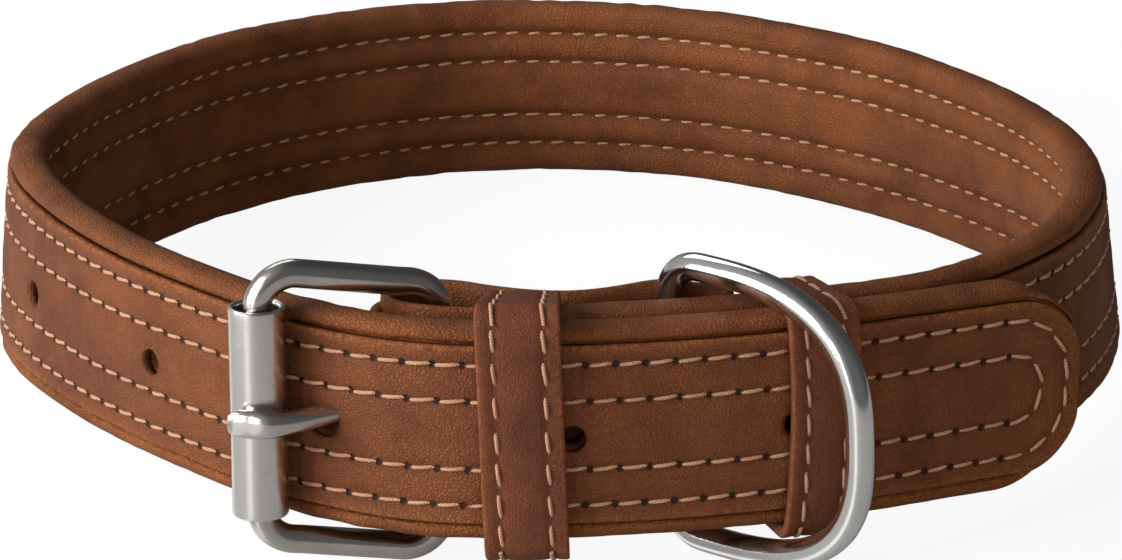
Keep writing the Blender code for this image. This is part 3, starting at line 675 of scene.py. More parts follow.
def frame_wire():
    """Bent and welded wire rectangle on edge."""
    along = unit(heel_foot - roller_foot)
    length = np.linalg.norm(heel_foot - roller_foot)
    middle = roller_foot + along * (length / 2.0) + UP * FRAME_MIDDLE
    points = []
    for across, rise, start in [(1, 1, 0.0), (-1, 1, 90.0), (-1, -1, 180.0), (1, -1, 270.0)]:
        centre = middle + along * (across * (length / 2.0 - FRAME_CORNER))
        centre = centre + UP * (rise * (FRAME_HEIGHT / 2.0 - FRAME_CORNER) - FRAME_DROP * (across + 1) / 2.0)
        for step in range(25):
            angle = math.radians(start + 90.0 * step / 24.0)
            points.append(centre + (along * math.cos(angle) + UP * math.sin(angle)) * FRAME_CORNER)
    plane = unit(np.cross(along, UP))
    return sweep("buckle_wire", resample(points, 0.9 * MM, True), plane, (WIRE / 2.0, WIRE / 2.0), True)


def roller_tube():
    """Thin tube with eased ends."""
    outer, half, ease = ROLLER_DIAMETER / 2.0, ROLLER_LENGTH / 2.0, 0.38 * MM
    inner = outer - ROLLER_WALL
    arc = np.radians(np.linspace(0.0, 90.0, 6))
    profile = [(outer - ease + ease * np.sin(a), -half + ease - ease * np.cos(a)) for a in arc]
    profile += [(outer, height) for height in np.linspace(-half + ease, half - ease, 30)[1:-1]]
    profile += [(outer - ease + ease * np.cos(a), half - ease + ease * np.sin(a)) for a in arc]
    profile += [(inner + 0.2 * MM, half), (inner, half - 0.2 * MM)]
    profile += [(inner, height) for height in np.linspace(half - 1.0 * MM, -half + 1.0 * MM, 6)]
    profile += [(inner, -half + 0.2 * MM), (inner + 0.2 * MM, -half)]
    rings = []
    for step in range(72):
        angle = math.radians(5.0 * step)
        spoke = np.array([math.cos(angle), math.sin(angle), 0.0])
        rings.append([roller_foot + spoke * radius + UP * (FRAME_MIDDLE + height) for radius, height in profile])
    piece = grid_piece("roller_tube", stand(np.array(rings)), True)
    print("roller_tube faces:", len(piece.data.polygons))
    return piece


def tongue_wire():
    """Eye round the heel bar and prong to its flat tip."""
    along = unit(roller_foot - heel_foot)
    length = np.linalg.norm(roller_foot - heel_foot)
    out = np.cross(along, UP)
    out = out * (-1.0 if out[1] > 0.0 else 1.0)
    level = heel_foot + UP * TONGUE_MIDDLE
    eye = WIRE / 2.0 + CLEARANCE + TONGUE_WIRE * TONGUE_EYE_SHARE
    rows = []
    for step in range(41):
        angle = math.radians(-270.0 * step / 40.0)
        rows.append((*(level + along * (eye * math.cos(angle)) + out * (eye * math.sin(angle))),
                     0.5 * TONGUE_WIRE, TONGUE_EYE_SHARE * TONGUE_WIRE))
    run = smooth_line([(0.0, eye / WIRE, 0.5, TONGUE_EYE_SHARE)] + TONGUE_TABLE, 12)
    for way, away, high, wide in run[1:]:
        rows.append((*(level + along * (way * length) + out * (away * WIRE)), high * TONGUE_WIRE, wide * TONGUE_WIRE))
    rows = np.array(rows)
    end = rows[-1]
    ahead = unit(rows[-1, :3] - rows[-2, :3])
    for share in (0.35, 0.6, 0.8, 0.92, 0.99):
        shrink = math.sqrt(1.0 - share**2)
        rows = np.vstack([rows, np.concatenate([end[:3] + ahead * share * 0.5 * MM, end[3:] * shrink])])
    return sweep("tongue_wire", rows[:, :3], UP, rows[:, 3:], False, 24)


buckle = frame_wire()
roller = roller_tube()
tongue = tongue_wire()

# %% Lead ring
RING_REACH = 43.4 * MM
RING_ARM = 7.7 * MM
RING_HEIGHT = 49.3 * MM
RING_CORNER = 6.5 * MM
RING_SQUARENESS = 2.82
RING_BAR = np.array([-0.030626, 0.024182, 0.999238])
RING_AHEAD = np.array([0.709241, -0.703899, 0.038772])


def lead_ring():
    """Bow with a straight bar, in the plane that the record's joint gives."""
    reach, bar = RING_AHEAD, RING_BAR
    middle = np.array(STANDING.inverted() @ Vector(ring_joint["pos_m"]))
    half = RING_HEIGHT / 2.0
    outline = []
    for angle in np.radians(np.linspace(90.0, -90.0, 240)):
        power = 2.0 / RING_SQUARENESS
        across = RING_ARM + (RING_REACH - RING_ARM) * abs(math.cos(angle)) ** power
        rise = half * math.copysign(abs(math.sin(angle)) ** power, math.sin(angle))
        if across > RING_CORNER:
            outline.append((across, rise))
    arc = np.radians(np.linspace(0.0, 90.0, 24))
    low = [(RING_CORNER * (1 - math.sin(a)), -half + RING_CORNER - RING_CORNER * math.cos(a)) for a in arc]
    outline = outline + low + [(across, -drop) for across, drop in low[::-1]]
    points = [middle + reach * across + bar * rise for across, rise in outline]
    even = resample(points, 0.9 * MM, True)
    even = np.stack([even_out(np.tile(even[:, k], 3), 1.2)[len(even):2 * len(even)] for k in range(3)], axis=1)
    return sweep("lead_ring_wire", even, unit(np.cross(reach, bar)), (WIRE / 2.0, WIRE / 2.0), True)


ring = lead_ring()

# %% [markdown]
# ## Where the stitches sit
# Stitches repeat a thousand times along known lines, which is what Geometry Nodes are for. The script
# gives each stitch a point with two directions, along the seam and away from the leather. The tree then
# bends one thread arch and sets a copy on every point.


# %% Stitch points
def row_path(row, begin):
    """Upper half of a seam row from its start to the middle of the tip: way and height over the middle."""
    corner, rise = ROW_CORNERS[row], ROW_HEIGHTS[row]
    last = LENGTH - ROW_END_GAPS[row]
    arc = np.radians(np.linspace(90.0, 0.0, 40))
    way = np.concatenate([[begin], last - corner + corner * np.cos(arc), [last]])
    height = np.concatenate([[rise], rise - corner + corner * np.sin(arc), [0.0]])
    steps = np.hypot(np.diff(way), np.diff(height))
    return np.concatenate([[0.0], np.cumsum(steps)]), way, height


ROW_BEGIN = 3.0 * MM
ROW_LENGTHS = [row_path(row, ROW_BEGIN)[0][-1] for row in (0, 1)]
ROW_PITCHES = [length / round(length / STITCH_PITCH) for length in ROW_LENGTHS]


def strap_stitches(out, facing):
    """Points, seam directions and facing directions of all strap stitches on one face."""
    places, alongs, faces = [], [], []
    for row in (0, 1):
        run, way, height = row_path(row, ROW_BEGIN)
        middle = (np.arange(round(ROW_LENGTHS[row] / ROW_PITCHES[row])) + 0.5) * ROW_PITCHES[row]
        for side in (1.0, -1.0):
            ends = []
            for shift in (-0.4 * MM, 0.4 * MM, 0.0):
                at, up = np.interp(middle + shift, run, way), np.interp(middle + shift, run, height)
                ends.append(strap_place(at, STRAP_HEIGHT / 2.0 + side * up, 0.0 * at + out))
            normal = np.stack([np.interp(at, WAY, OUTWARD[:, k]) for k in range(2)] + [0.0 * at], axis=-1)
            places.append(ends[2])
            alongs.append(unit(ends[1] - ends[0]))
            faces.append(normal * facing)
    return np.vstack(places), np.vstack(alongs), np.vstack(faces)


def keeper_stitches():
    """Points and directions of the keepers' two rows of stitches each."""
    places, alongs, faces = [], [], []
    for _, turn, width, shape, _ in KEEPERS:
        walk, half_mid = keeper_walk(turn)
        ring_way = walk[:, :2] + walk[:, 2:4] * walk[:, 4:5]
        steps = np.linalg.norm(np.diff(np.vstack([ring_way, ring_way[:1]]), axis=0), axis=1)
        run = np.concatenate([[0.0], np.cumsum(steps)])
        count = round(run[-1] / (5.3 * MM))
        wide = np.vstack([walk, walk[:1]])
        for across in (KEEPER_MARGIN - width / 2.0, width / 2.0 - KEEPER_MARGIN):
            ends = []
            for shift in (-0.3 * MM, 0.3 * MM, 0.0):
                at = ((np.arange(count) + 0.5) / count * run[-1] + shift) % run[-1]
                row = np.stack([np.interp(at, run, wide[:, k]) for k in range(5)], axis=1)
                spot = [keeper_point(turn, shape, across, deep, row, half_mid) for deep in (0.42 * MM, -0.1 * MM)]
                ends.append(spot[0])
            places.append(ends[2])
            alongs.append(unit(ends[1] - ends[0]))
            faces.append(unit(spot[1] - spot[0]))
    return np.vstack(places), np.vstack(alongs), np.vstack(faces)


def point_cloud(name, places, alongs, faces):
    """Bare points that carry their directions."""
    mesh = bpy.data.meshes.new(name)
    mesh.from_pydata(stand(places).tolist(), [], [])
    turn = STANDING_ARRAY[:3, :3]
    for key, vectors in (("seam_along", alongs @ turn.T), ("seam_facing", faces @ turn.T)):
        attribute = mesh.attributes.new(key, "FLOAT_VECTOR", "POINT")
        attribute.data.foreach_set("vector", vectors.astype(np.float32).ravel())
    cloud = bpy.data.objects.new(name, mesh)
    bpy.context.scene.collection.objects.link(cloud)
    return cloud


# %% [markdown]
# ## Materials in groups
# The leathers differ in colour and wear but share their grain, and all steel shares its fine scratches.
# Each shared effect is a node group that only gives colours, masks and heights. The shader itself stays
# in the material, so every finish can set its own gloss.


# %% Node helpers
def new_group(name, sockets):
    """Shader group with named inputs and outputs."""
    group = bpy.data.node_groups.new(name, "ShaderNodeTree")
    for label, way_in, kind, value in sockets:
        socket = group.interface.new_socket(label, in_out="INPUT" if way_in else "OUTPUT", socket_type=kind)
        if way_in and value is not None:
            socket.default_value = value
    return group, group.nodes.new("NodeGroupInput"), group.nodes.new("NodeGroupOutput")


def node(tree, kind, values=None, **settings):
    """New node with settings and input values; a linked socket is given as the value."""
    made = tree.nodes.new(kind)
    for key, value in settings.items():
        setattr(made, key, value)
    for key, value in (values or {}).items():
        if isinstance(value, bpy.types.NodeSocket):
            tree.links.new(value, made.inputs[key])
        else:
            made.inputs[key].default_value = value
    return made


def maths(tree, operation, first, second=0.0, third=0.0, clamp=False):
    """Math node's output."""
    return node(tree, "ShaderNodeMath", {0: first, 1: second, 2: third}, operation=operation, use_clamp=clamp).outputs[0]


def mixed(tree, share, first, second, blend="MIX"):
    """Mixed colour."""
    made = node(tree, "ShaderNodeMix", {0: share, 6: first, 7: second}, data_type="RGBA", blend_type=blend)
    return made.outputs[2]


def noise(tree, place, scale, detail=2.0, rough=0.5, warp=0.0):
    """Noise value about one half."""
    values = {"Vector": place, "Scale": scale, "Detail": detail, "Roughness": rough, "Distortion": warp}
    return node(tree, "ShaderNodeTexNoise", values).outputs[0]


def spread(tree, value, low, high, out_low=0.0, out_high=1.0):
    """Value carried from one range to another and held there."""
    values = {0: value, 1: low, 2: high, 3: out_low, 4: out_high}
    return node(tree, "ShaderNodeMapRange", values, interpolation_type="SMOOTHSTEP").outputs[0]


# %% Leather grain group
def leather_group():
    """Pores, pebbles, wax clouds and worn spots of full grain leather, with painted shade in cracks, pores and seams
    and a painted highlight on edges.
    """
    float_in, colour = "NodeSocketFloat", "NodeSocketColor"
    group, given, result = new_group("leather_grain", [
        ("Place", True, "NodeSocketVector", None),
        ("Main", True, colour, (0.2, 0.08, 0.04, 1.0)),
        ("Deep", True, colour, (0.05, 0.02, 0.01, 1.0)),
        ("Worn_and_highlight", True, colour, (0.4, 0.18, 0.08, 1.0)),
        ("Pebble", True, float_in, 1500.0),
        ("Seam", True, float_in, 0.0),
        ("Edge", True, float_in, 0.0),
        ("Colour", False, colour, None),
        ("Height", False, float_in, None),
        ("Dullness", False, float_in, None),
    ])
    place, pebble = given.outputs["Place"], given.outputs["Pebble"]
    bent = noise(group, place, 420.0, 3.0, 0.6)
    shifted = node(group, "ShaderNodeVectorMath", {0: place, 1: (0.0, 0.0, 0.0)}, operation="ADD")
    push = node(group, "ShaderNodeCombineXYZ", {0: maths(group, "MULTIPLY", bent, 0.0011), 1: maths(group, "MULTIPLY", bent, -0.0008), 2: maths(group, "MULTIPLY", bent, 0.0009)})
    group.links.new(push.outputs[0], shifted.inputs[1])
    cell = node(group, "ShaderNodeTexVoronoi", {"Vector": shifted.outputs[0], "Scale": pebble, "Randomness": 1.0},
                feature="DISTANCE_TO_EDGE").outputs[0]
    crack = spread(group, cell, 0.0, 0.22)
    pores = noise(group, place, 5200.0, 2.0, 0.6)
    pore = spread(group, pores, 0.30, 0.46)
    fibre = noise(group, place, 900.0, 4.0, 0.65, 0.6)
    cloud = noise(group, place, 38.0, 5.0, 0.62, 0.4)
    patch = noise(group, place, 150.0, 4.0, 0.6, 0.2)
    tone = mixed(group, spread(group, cloud, 0.32, 0.68), given.outputs["Deep"], given.outputs["Main"])
    tone = mixed(group, maths(group, "MULTIPLY", spread(group, patch, 0.35, 0.72), 0.55), tone, given.outputs["Main"])
    # Painted shade: the cracks between pebbles and the pores are darkened towards the deep colour.
    crack_shade = maths(group, "MULTIPLY", maths(group, "SUBTRACT", 1.0, crack), 0.42)
    tone = mixed(group, crack_shade, tone, given.outputs["Deep"])
    tone = mixed(group, maths(group, "MULTIPLY", maths(group, "SUBTRACT", 1.0, pore), 0.35), tone, given.outputs["Deep"])
    # Partly wear and partly painted highlight: the edges are lightened towards the worn orange.
    edge_wear_and_highlight = maths(group, "MULTIPLY", given.outputs["Edge"], spread(group, fibre, 0.35, 0.7), clamp=True)
    tone = mixed(group, maths(group, "MULTIPLY", edge_wear_and_highlight, 0.8), tone, given.outputs["Worn_and_highlight"])
    glint = maths(group, "MULTIPLY", spread(group, fibre, 0.56, 0.78), 0.28)
    tone = mixed(group, glint, tone, given.outputs["Worn_and_highlight"])
    # Painted shade: the seam dents and channels are darkened towards the deep colour.
    tone = mixed(group, maths(group, "MULTIPLY", given.outputs["Seam"], 0.55), tone, given.outputs["Deep"])
    height = maths(group, "MULTIPLY", crack, 0.45)
    height = maths(group, "ADD", height, maths(group, "MULTIPLY", fibre, 0.55))
    height = maths(group, "ADD", height, maths(group, "MULTIPLY", pore, 0.22))
    group.links.new(tone, result.inputs["Colour"])
    group.links.new(height, result.inputs["Height"])
    dull = spread(group, cloud, 0.3, 0.7, 0.06, -0.06)
    dull = maths(group, "ADD", dull, maths(group, "MULTIPLY", fibre, 0.10))
    group.links.new(dull, result.inputs["Dullness"])
    return group


grain = leather_group()
print("leather group nodes:", len(grain.nodes))

# %% [markdown]
# ## Needle holes
# The awl leaves a hole between one stitch and the next, and the shade inside it is painted near black.
# The strap meshes carry how far along and how high each place is, so the shader can find the same phase
# as the stitches and darken exactly there.


# %% Needle hole group
def needle_group():
    """Mask of needle holes along two mirrored pairs of rows."""
    flo = "NodeSocketFloat"
    group, given, result = new_group("needle_holes", [
        ("Way", True, flo, 0.0), ("Level", True, flo, 0.0), ("Holes", False, flo, None),
    ])
    rise = maths(group, "ABSOLUTE", maths(group, "SUBTRACT", given.outputs["Level"], STRAP_HEIGHT / 2.0))
    total = 0.0
    for row in (0, 1):
        count = maths(group, "DIVIDE", maths(group, "SUBTRACT", given.outputs["Way"], ROW_BEGIN), ROW_PITCHES[row])
        off = maths(group, "MULTIPLY", maths(group, "PINGPONG", count, 0.5), ROW_PITCHES[row] * 1000.0)
        up = maths(group, "MULTIPLY", maths(group, "SUBTRACT", rise, ROW_HEIGHTS[row]), 1000.0)
        far = maths(group, "SQRT", maths(group, "ADD", maths(group, "POWER", off, 2.0), maths(group, "POWER", maths(group, "ABSOLUTE", up), 2.0)))
        total = maths(group, "ADD", total, spread(group, far, 0.85, 0.35))
    straight = maths(group, "LESS_THAN", given.outputs["Way"], LENGTH - 13.5 * MM)
    holes = maths(group, "MULTIPLY", maths(group, "MINIMUM", total, 1.0), straight)
    group.links.new(holes, result.inputs["Holes"])
    return group


needles = needle_group()


# %% Leather materials
def leather(name, main, deep, worn_and_highlight, pebble, gloss, strength, holes):
    """Leather finish from the shared grain."""
    material = bpy.data.materials.new(name)
    material.use_nodes = True
    tree = material.node_tree
    shader = tree.nodes["Principled BSDF"]
    place = node(tree, "ShaderNodeTexCoord").outputs["Object"]
    seam = node(tree, "ShaderNodeAttribute", attribute_name="seam").outputs["Fac"]
    edge = node(tree, "ShaderNodeAttribute", attribute_name="edge").outputs["Fac"]
    values = {"Place": place, "Main": main, "Deep": deep, "Worn_and_highlight": worn_and_highlight, "Pebble": pebble, "Seam": seam, "Edge": edge}
    body = node(tree, "ShaderNodeGroup", node_tree=grain)
    for key, value in values.items():
        if isinstance(value, bpy.types.NodeSocket):
            tree.links.new(value, body.inputs[key])
        else:
            body.inputs[key].default_value = value
    colour, height = body.outputs["Colour"], body.outputs["Height"]
    if holes:
        way = node(tree, "ShaderNodeAttribute", attribute_name="way").outputs["Fac"]
        level = node(tree, "ShaderNodeAttribute", attribute_name="level").outputs["Fac"]
        mark = node(tree, "ShaderNodeGroup", node_tree=needles)
        tree.links.new(way, mark.inputs["Way"])
        tree.links.new(level, mark.inputs["Level"])
        # Painted shade: each needle hole is painted near black for the shade inside it.
        colour = mixed(tree, maths(tree, "MULTIPLY", mark.outputs["Holes"], 0.9), colour, (0.012, 0.006, 0.004, 1.0))
        height = maths(tree, "SUBTRACT", height, maths(tree, "MULTIPLY", mark.outputs["Holes"], 1.6))
    bump = node(tree, "ShaderNodeBump", {"Strength": strength, "Distance": 0.00022, "Height": height})
    tree.links.new(colour, shader.inputs["Base Color"])
    tree.links.new(maths(tree, "ADD", body.outputs["Dullness"], gloss), shader.inputs["Roughness"])
    tree.links.new(bump.outputs[0], shader.inputs["Normal"])
    shader.inputs["Specular IOR Level"].default_value = 0.26
    return material


# The third colour of each finish is the worn orange of the edges, which also paints their highlight and the glints.
strap_leather = leather("strap_leather", (0.225, 0.068, 0.0200, 1), (0.115, 0.032, 0.0105, 1), (0.37, 0.122, 0.034, 1), 1500.0, 0.56, 1.25, True)
lining_leather = leather("lining_leather", (0.240, 0.072, 0.0175, 1), (0.110, 0.031, 0.0080, 1), (0.44, 0.150, 0.030, 1), 1250.0, 0.56, 1.2, False)
keeper_leather = leather("keeper_leather", (0.185, 0.053, 0.0205, 1), (0.094, 0.026, 0.0105, 1), (0.31, 0.092, 0.026, 1), 1700.0, 0.50, 0.8, False)


# %% [markdown]
# ## Steel
# Polished wire mirrors the studio, but years of use leave fine hairlines and a dull bloom, so its gloss
# has to change over the surface. One group gives hairlines and bloom for the wire, the tube and the ring.


# %% Steel group and materials
def steel_group():
    """Hairlines and bloom of worn polished steel."""
    flo = "NodeSocketFloat"
    group, given, result = new_group("steel_wear", [
        ("Place", True, "NodeSocketVector", None), ("Grain", True, flo, 1.0),
        ("Lines", False, flo, None), ("Bloom", False, flo, None),
    ])
    stretch = node(group, "ShaderNodeMapping", {"Vector": given.outputs["Place"], "Scale": (1.0, 1.0, 9.0)})
    lines = noise(group, stretch.outputs[0], 700.0, 4.0, 0.7)
    cross = node(group, "ShaderNodeMapping", {"Vector": given.outputs["Place"], "Scale": (6.0, 5.0, 1.0), "Rotation": (0.3, 0.2, 0.5)})
    lines = maths(group, "ADD", lines, maths(group, "MULTIPLY", noise(group, cross.outputs[0], 600.0, 4.0, 0.7), 0.6))
    bloom = spread(group, noise(group, given.outputs["Place"], 120.0, 4.0, 0.6), 0.35, 0.72)
    group.links.new(maths(group, "MULTIPLY", lines, given.outputs["Grain"]), result.inputs["Lines"])
    group.links.new(bloom, result.inputs["Bloom"])
    return group


wear = steel_group()


def steel(name, colour, dark, gloss, grain_depth):
    """Steel finish from the shared wear."""
    material = bpy.data.materials.new(name)
    material.use_nodes = True
    tree = material.node_tree
    shader = tree.nodes["Principled BSDF"]
    body = node(tree, "ShaderNodeGroup", node_tree=wear)
    tree.links.new(node(tree, "ShaderNodeTexCoord").outputs["Object"], body.inputs["Place"])
    body.inputs["Grain"].default_value = grain_depth
    tone = mixed(tree, maths(tree, "MULTIPLY", body.outputs["Bloom"], 0.6), colour, dark)
    rough = maths(tree, "ADD", maths(tree, "MULTIPLY", body.outputs["Bloom"], 0.10), gloss)
    rough = maths(tree, "ADD", rough, maths(tree, "MULTIPLY", body.outputs["Lines"], 0.06))
    bump = node(tree, "ShaderNodeBump", {"Strength": 0.35, "Distance": 0.00003, "Height": body.outputs["Lines"]})
    tree.links.new(tone, shader.inputs["Base Color"])
    tree.links.new(rough, shader.inputs["Roughness"])
    tree.links.new(bump.outputs[0], shader.inputs["Normal"])
    shader.inputs["Metallic"].default_value = 1.0
    return material


frame_steel = steel("frame_steel", (0.66, 0.63, 0.60, 1), (0.50, 0.47, 0.44, 1), 0.12, 0.8)
roller_steel = steel("roller_steel", (0.80, 0.79, 0.77, 1), (0.66, 0.64, 0.61, 1), 0.17, 1.0)
ring_steel = steel("ring_steel", (0.88, 0.88, 0.87, 1), (0.70, 0.69, 0.68, 1), 0.07, 0.5)


# %% Thread material
def thread_material():
    """Waxed linen thread of three twisted strands, with painted shade in the grooves between them."""
    material = bpy.data.materials.new("waxed_thread")
    material.use_nodes = True
    tree = material.node_tree
    shader = tree.nodes["Principled BSDF"]
    length = node(tree, "ShaderNodeAttribute", attribute_name="strand_way").outputs["Fac"]
    around = node(tree, "ShaderNodeAttribute", attribute_name="strand_round").outputs["Fac"]
    twist = maths(tree, "ADD", maths(tree, "MULTIPLY", length, 3.0), around)
    strand = maths(tree, "PINGPONG", maths(tree, "MULTIPLY", twist, 3.0), 0.5)
    place = node(tree, "ShaderNodeTexCoord").outputs["Object"]
    fuzz = noise(tree, place, 2600.0, 3.0, 0.7)
    soil = noise(tree, place, 90.0, 3.0, 0.6)
    # Painted shade: the grooves between the strands are painted dark, the crests light.
    groove = spread(tree, strand, 0.0, 0.28)
    colour = mixed(tree, groove, (0.19, 0.080, 0.038, 1), (0.68, 0.38, 0.22, 1))
    colour = mixed(tree, maths(tree, "MULTIPLY", spread(tree, soil, 0.4, 0.75), 0.6), colour, (0.36, 0.17, 0.085, 1))
    height = maths(tree, "ADD", groove, maths(tree, "MULTIPLY", fuzz, 0.4))
    bump = node(tree, "ShaderNodeBump", {"Strength": 0.8, "Distance": 0.0002, "Height": height})
    tree.links.new(colour, shader.inputs["Base Color"])
    tree.links.new(maths(tree, "ADD", maths(tree, "MULTIPLY", fuzz, 0.2), 0.5), shader.inputs["Roughness"])
    tree.links.new(bump.outputs[0], shader.inputs["Normal"])
    return material


thread = thread_material()


# %% Stitch tree
def stitch_tree():
    """Geometry Nodes tree: one bent thread on every point."""
    tree = bpy.data.node_groups.new("stitch_rows", "GeometryNodeTree")
    sockets = {}
    for label, kind, value in (
        ("Points", "NodeSocketGeometry", None), ("Length", "NodeSocketFloat", 4.2 * MM),
        ("Rise", "NodeSocketFloat", 0.52 * MM), ("Thread", "NodeSocketFloat", 0.72 * MM),
        ("Tilt", "NodeSocketFloat", 0.09), ("Seed", "NodeSocketInt", 7), ("Finish", "NodeSocketMaterial", None),
    ):
        socket = tree.interface.new_socket(label, in_out="INPUT", socket_type=kind)
        if value is not None:
            socket.default_value = value
        sockets[label] = socket.identifier
    tree.interface.new_socket("Stitches", in_out="OUTPUT", socket_type="NodeSocketGeometry")
    given = tree.nodes.new("NodeGroupInput").outputs
    result = tree.nodes.new("NodeGroupOutput")
    half = maths(tree, "MULTIPLY", given["Length"], 0.5)
    sink = maths(tree, "MULTIPLY", given["Rise"], -0.75)
    crown = maths(tree, "MULTIPLY", given["Rise"], 1.35)
    back = node(tree, "ShaderNodeCombineXYZ", {0: maths(tree, "MULTIPLY", half, -1.0), 2: sink}).outputs[0]
    top = node(tree, "ShaderNodeCombineXYZ", {2: crown}).outputs[0]
    front = node(tree, "ShaderNodeCombineXYZ", {0: half, 2: sink}).outputs[0]
    arch = node(tree, "GeometryNodeCurveQuadraticBezier", {"Resolution": 7, "Start": back, "Middle": top, "End": front}).outputs[0]
    share = tree.nodes.new("GeometryNodeSplineParameter").outputs["Factor"]
    arch = node(tree, "GeometryNodeStoreNamedAttribute", {"Geometry": arch, "Name": "strand_way", "Value": share}, data_type="FLOAT", domain="POINT").outputs[0]
    round_section = node(tree, "GeometryNodeCurvePrimitiveCircle", {"Resolution": 7, "Radius": maths(tree, "MULTIPLY", given["Thread"], 0.5)}).outputs[0]
    round_section = node(tree, "GeometryNodeStoreNamedAttribute", {"Geometry": round_section, "Name": "strand_round", "Value": share}, data_type="FLOAT", domain="POINT").outputs[0]
    body = node(tree, "GeometryNodeCurveToMesh", {"Curve": arch, "Profile Curve": round_section, "Fill Caps": True}).outputs[0]
    body = node(tree, "GeometryNodeSetShadeSmooth", {"Geometry": body}).outputs[0]
    facing = node(tree, "GeometryNodeInputNamedAttribute", {"Name": "seam_facing"}, data_type="FLOAT_VECTOR").outputs[0]
    along = node(tree, "GeometryNodeInputNamedAttribute", {"Name": "seam_along"}, data_type="FLOAT_VECTOR").outputs[0]
    turn = node(tree, "FunctionNodeAxesToRotation", {0: facing, 1: along}, primary_axis="Z", secondary_axis="X").outputs[0]
    lean = node(tree, "FunctionNodeRandomValue", {"Seed": given["Seed"]}, data_type="FLOAT")
    for key, value in (("Min", -0.035), ("Max", 0.035)):
        next(s for s in lean.inputs if s.name == key and s.type == "VALUE").default_value = value
    wobble = next(s for s in lean.outputs if s.type == "VALUE")
    spin = node(tree, "ShaderNodeCombineXYZ", {2: maths(tree, "ADD", wobble, given["Tilt"])}).outputs[0]
    spin = node(tree, "FunctionNodeEulerToRotation", {0: spin}).outputs[0]
    turn = node(tree, "FunctionNodeRotateRotation", {0: turn, 1: spin}, rotation_space="LOCAL").outputs[0]
    copies = node(tree, "GeometryNodeInstanceOnPoints", {"Points": given["Points"], "Instance": body, "Rotation": turn}).outputs[0]
    solid = node(tree, "GeometryNodeRealizeInstances", {"Geometry": copies}).outputs[0]
    finished = node(tree, "GeometryNodeSetMaterial", {"Geometry": solid, "Material": given["Finish"]}).outputs[0]
    tree.links.new(finished, result.inputs[0])
    return tree, sockets


rows_tree, row_sockets = stitch_tree()


def sew(name, cloud_data, **values):
    """Plain mesh of stitches on the given points."""
    cloud = point_cloud(name + "_points", *cloud_data)
    sewing = cloud.modifiers.new("sewing", "NODES")
    sewing.node_group = rows_tree
    sewing[row_sockets["Finish"]] = thread
    for label, value in values.items():
        sewing[row_sockets[label]] = value
    bpy.context.view_layer.update()
    graph = bpy.context.evaluated_depsgraph_get()
    mesh = bpy.data.meshes.new_from_object(cloud.evaluated_get(graph), preserve_all_data_layers=True, depsgraph=graph)
    bpy.data.objects.remove(cloud)
    mesh.name = name
    builder = bmesh.new()
    builder.from_mesh(mesh)
    bmesh.ops.recalc_face_normals(builder, faces=builder.faces)
    builder.to_mesh(mesh)
    builder.free()
    piece = bpy.data.objects.new(name, mesh)
    bpy.context.scene.collection.objects.link(piece)
    print(name, "faces:", len(mesh.polygons))
    return piece


outer_stitches = sew("stitches_outer", strap_stitches(SEAM_GAP / 2.0 + STRIP_THICKNESS - 0.42 * MM, 1.0))
inner_stitches = sew("stitches_neck", strap_stitches(-SEAM_GAP / 2.0 - 3.55 * MM, -1.0), Length=3.3 * MM)
band_stitches = sew("stitches_keepers", keeper_stitches(), Length=4.1 * MM)

# %% [markdown]
# ## Give every piece its finish and its body
# The new meshes stand in for the plain solids. Roller and ring move on their own joints, and everything
# else stays with the fastened strap.

# %% Finishes and bodies
WORK = [
    (strip, strap_leather, "collar", "strap_leather", ("outer_strip",)),
    (lining, lining_leather, "collar", "lining_leather", ("padded_lining",)),
    (keepers[0], keeper_leather, "collar", "keeper_leather", ("first_keeper",)),
    (keepers[1], keeper_leather, "collar", "keeper_leather", ("second_keeper",)),
    (buckle, frame_steel, "collar", "frame_steel", ("buckle_frame",)),
    (tongue, frame_steel, "collar", "frame_steel", ("buckle_tongue",)),
    (roller, roller_steel, "roller", "roller_steel", ("buckle_roller",)),
    (ring, ring_steel, "ring", "ring_steel", ("lead_ring",)),
    (outer_stitches, thread, "collar", "strap_leather", ()),
    (inner_stitches, thread, "collar", "lining_leather", ()),
    (band_stitches, thread, "collar", "keeper_leather", ()),
]
for piece, material, body, slot, nodes in WORK:
    piece.data.materials.clear()
    piece.data.materials.append(material)
    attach(piece, body)
    if nodes:
        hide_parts(*nodes)
triangles = {piece.name: sum(len(face.vertices) - 2 for face in piece.data.polygons) for piece, *_ in WORK}
print("triangles:", triangles, "in all", sum(triangles.values()))

# %% [markdown]
# ## Floor, light and camera
# The collar was photographed from a little above on plain white, lit softly from the left. A large lamp
# to the left gives the leather its direction and a weak one on the right keeps the far side readable.
# The world is white to the camera and shaded from bright to dark for reflections, which is what lets
# round steel look like steel.


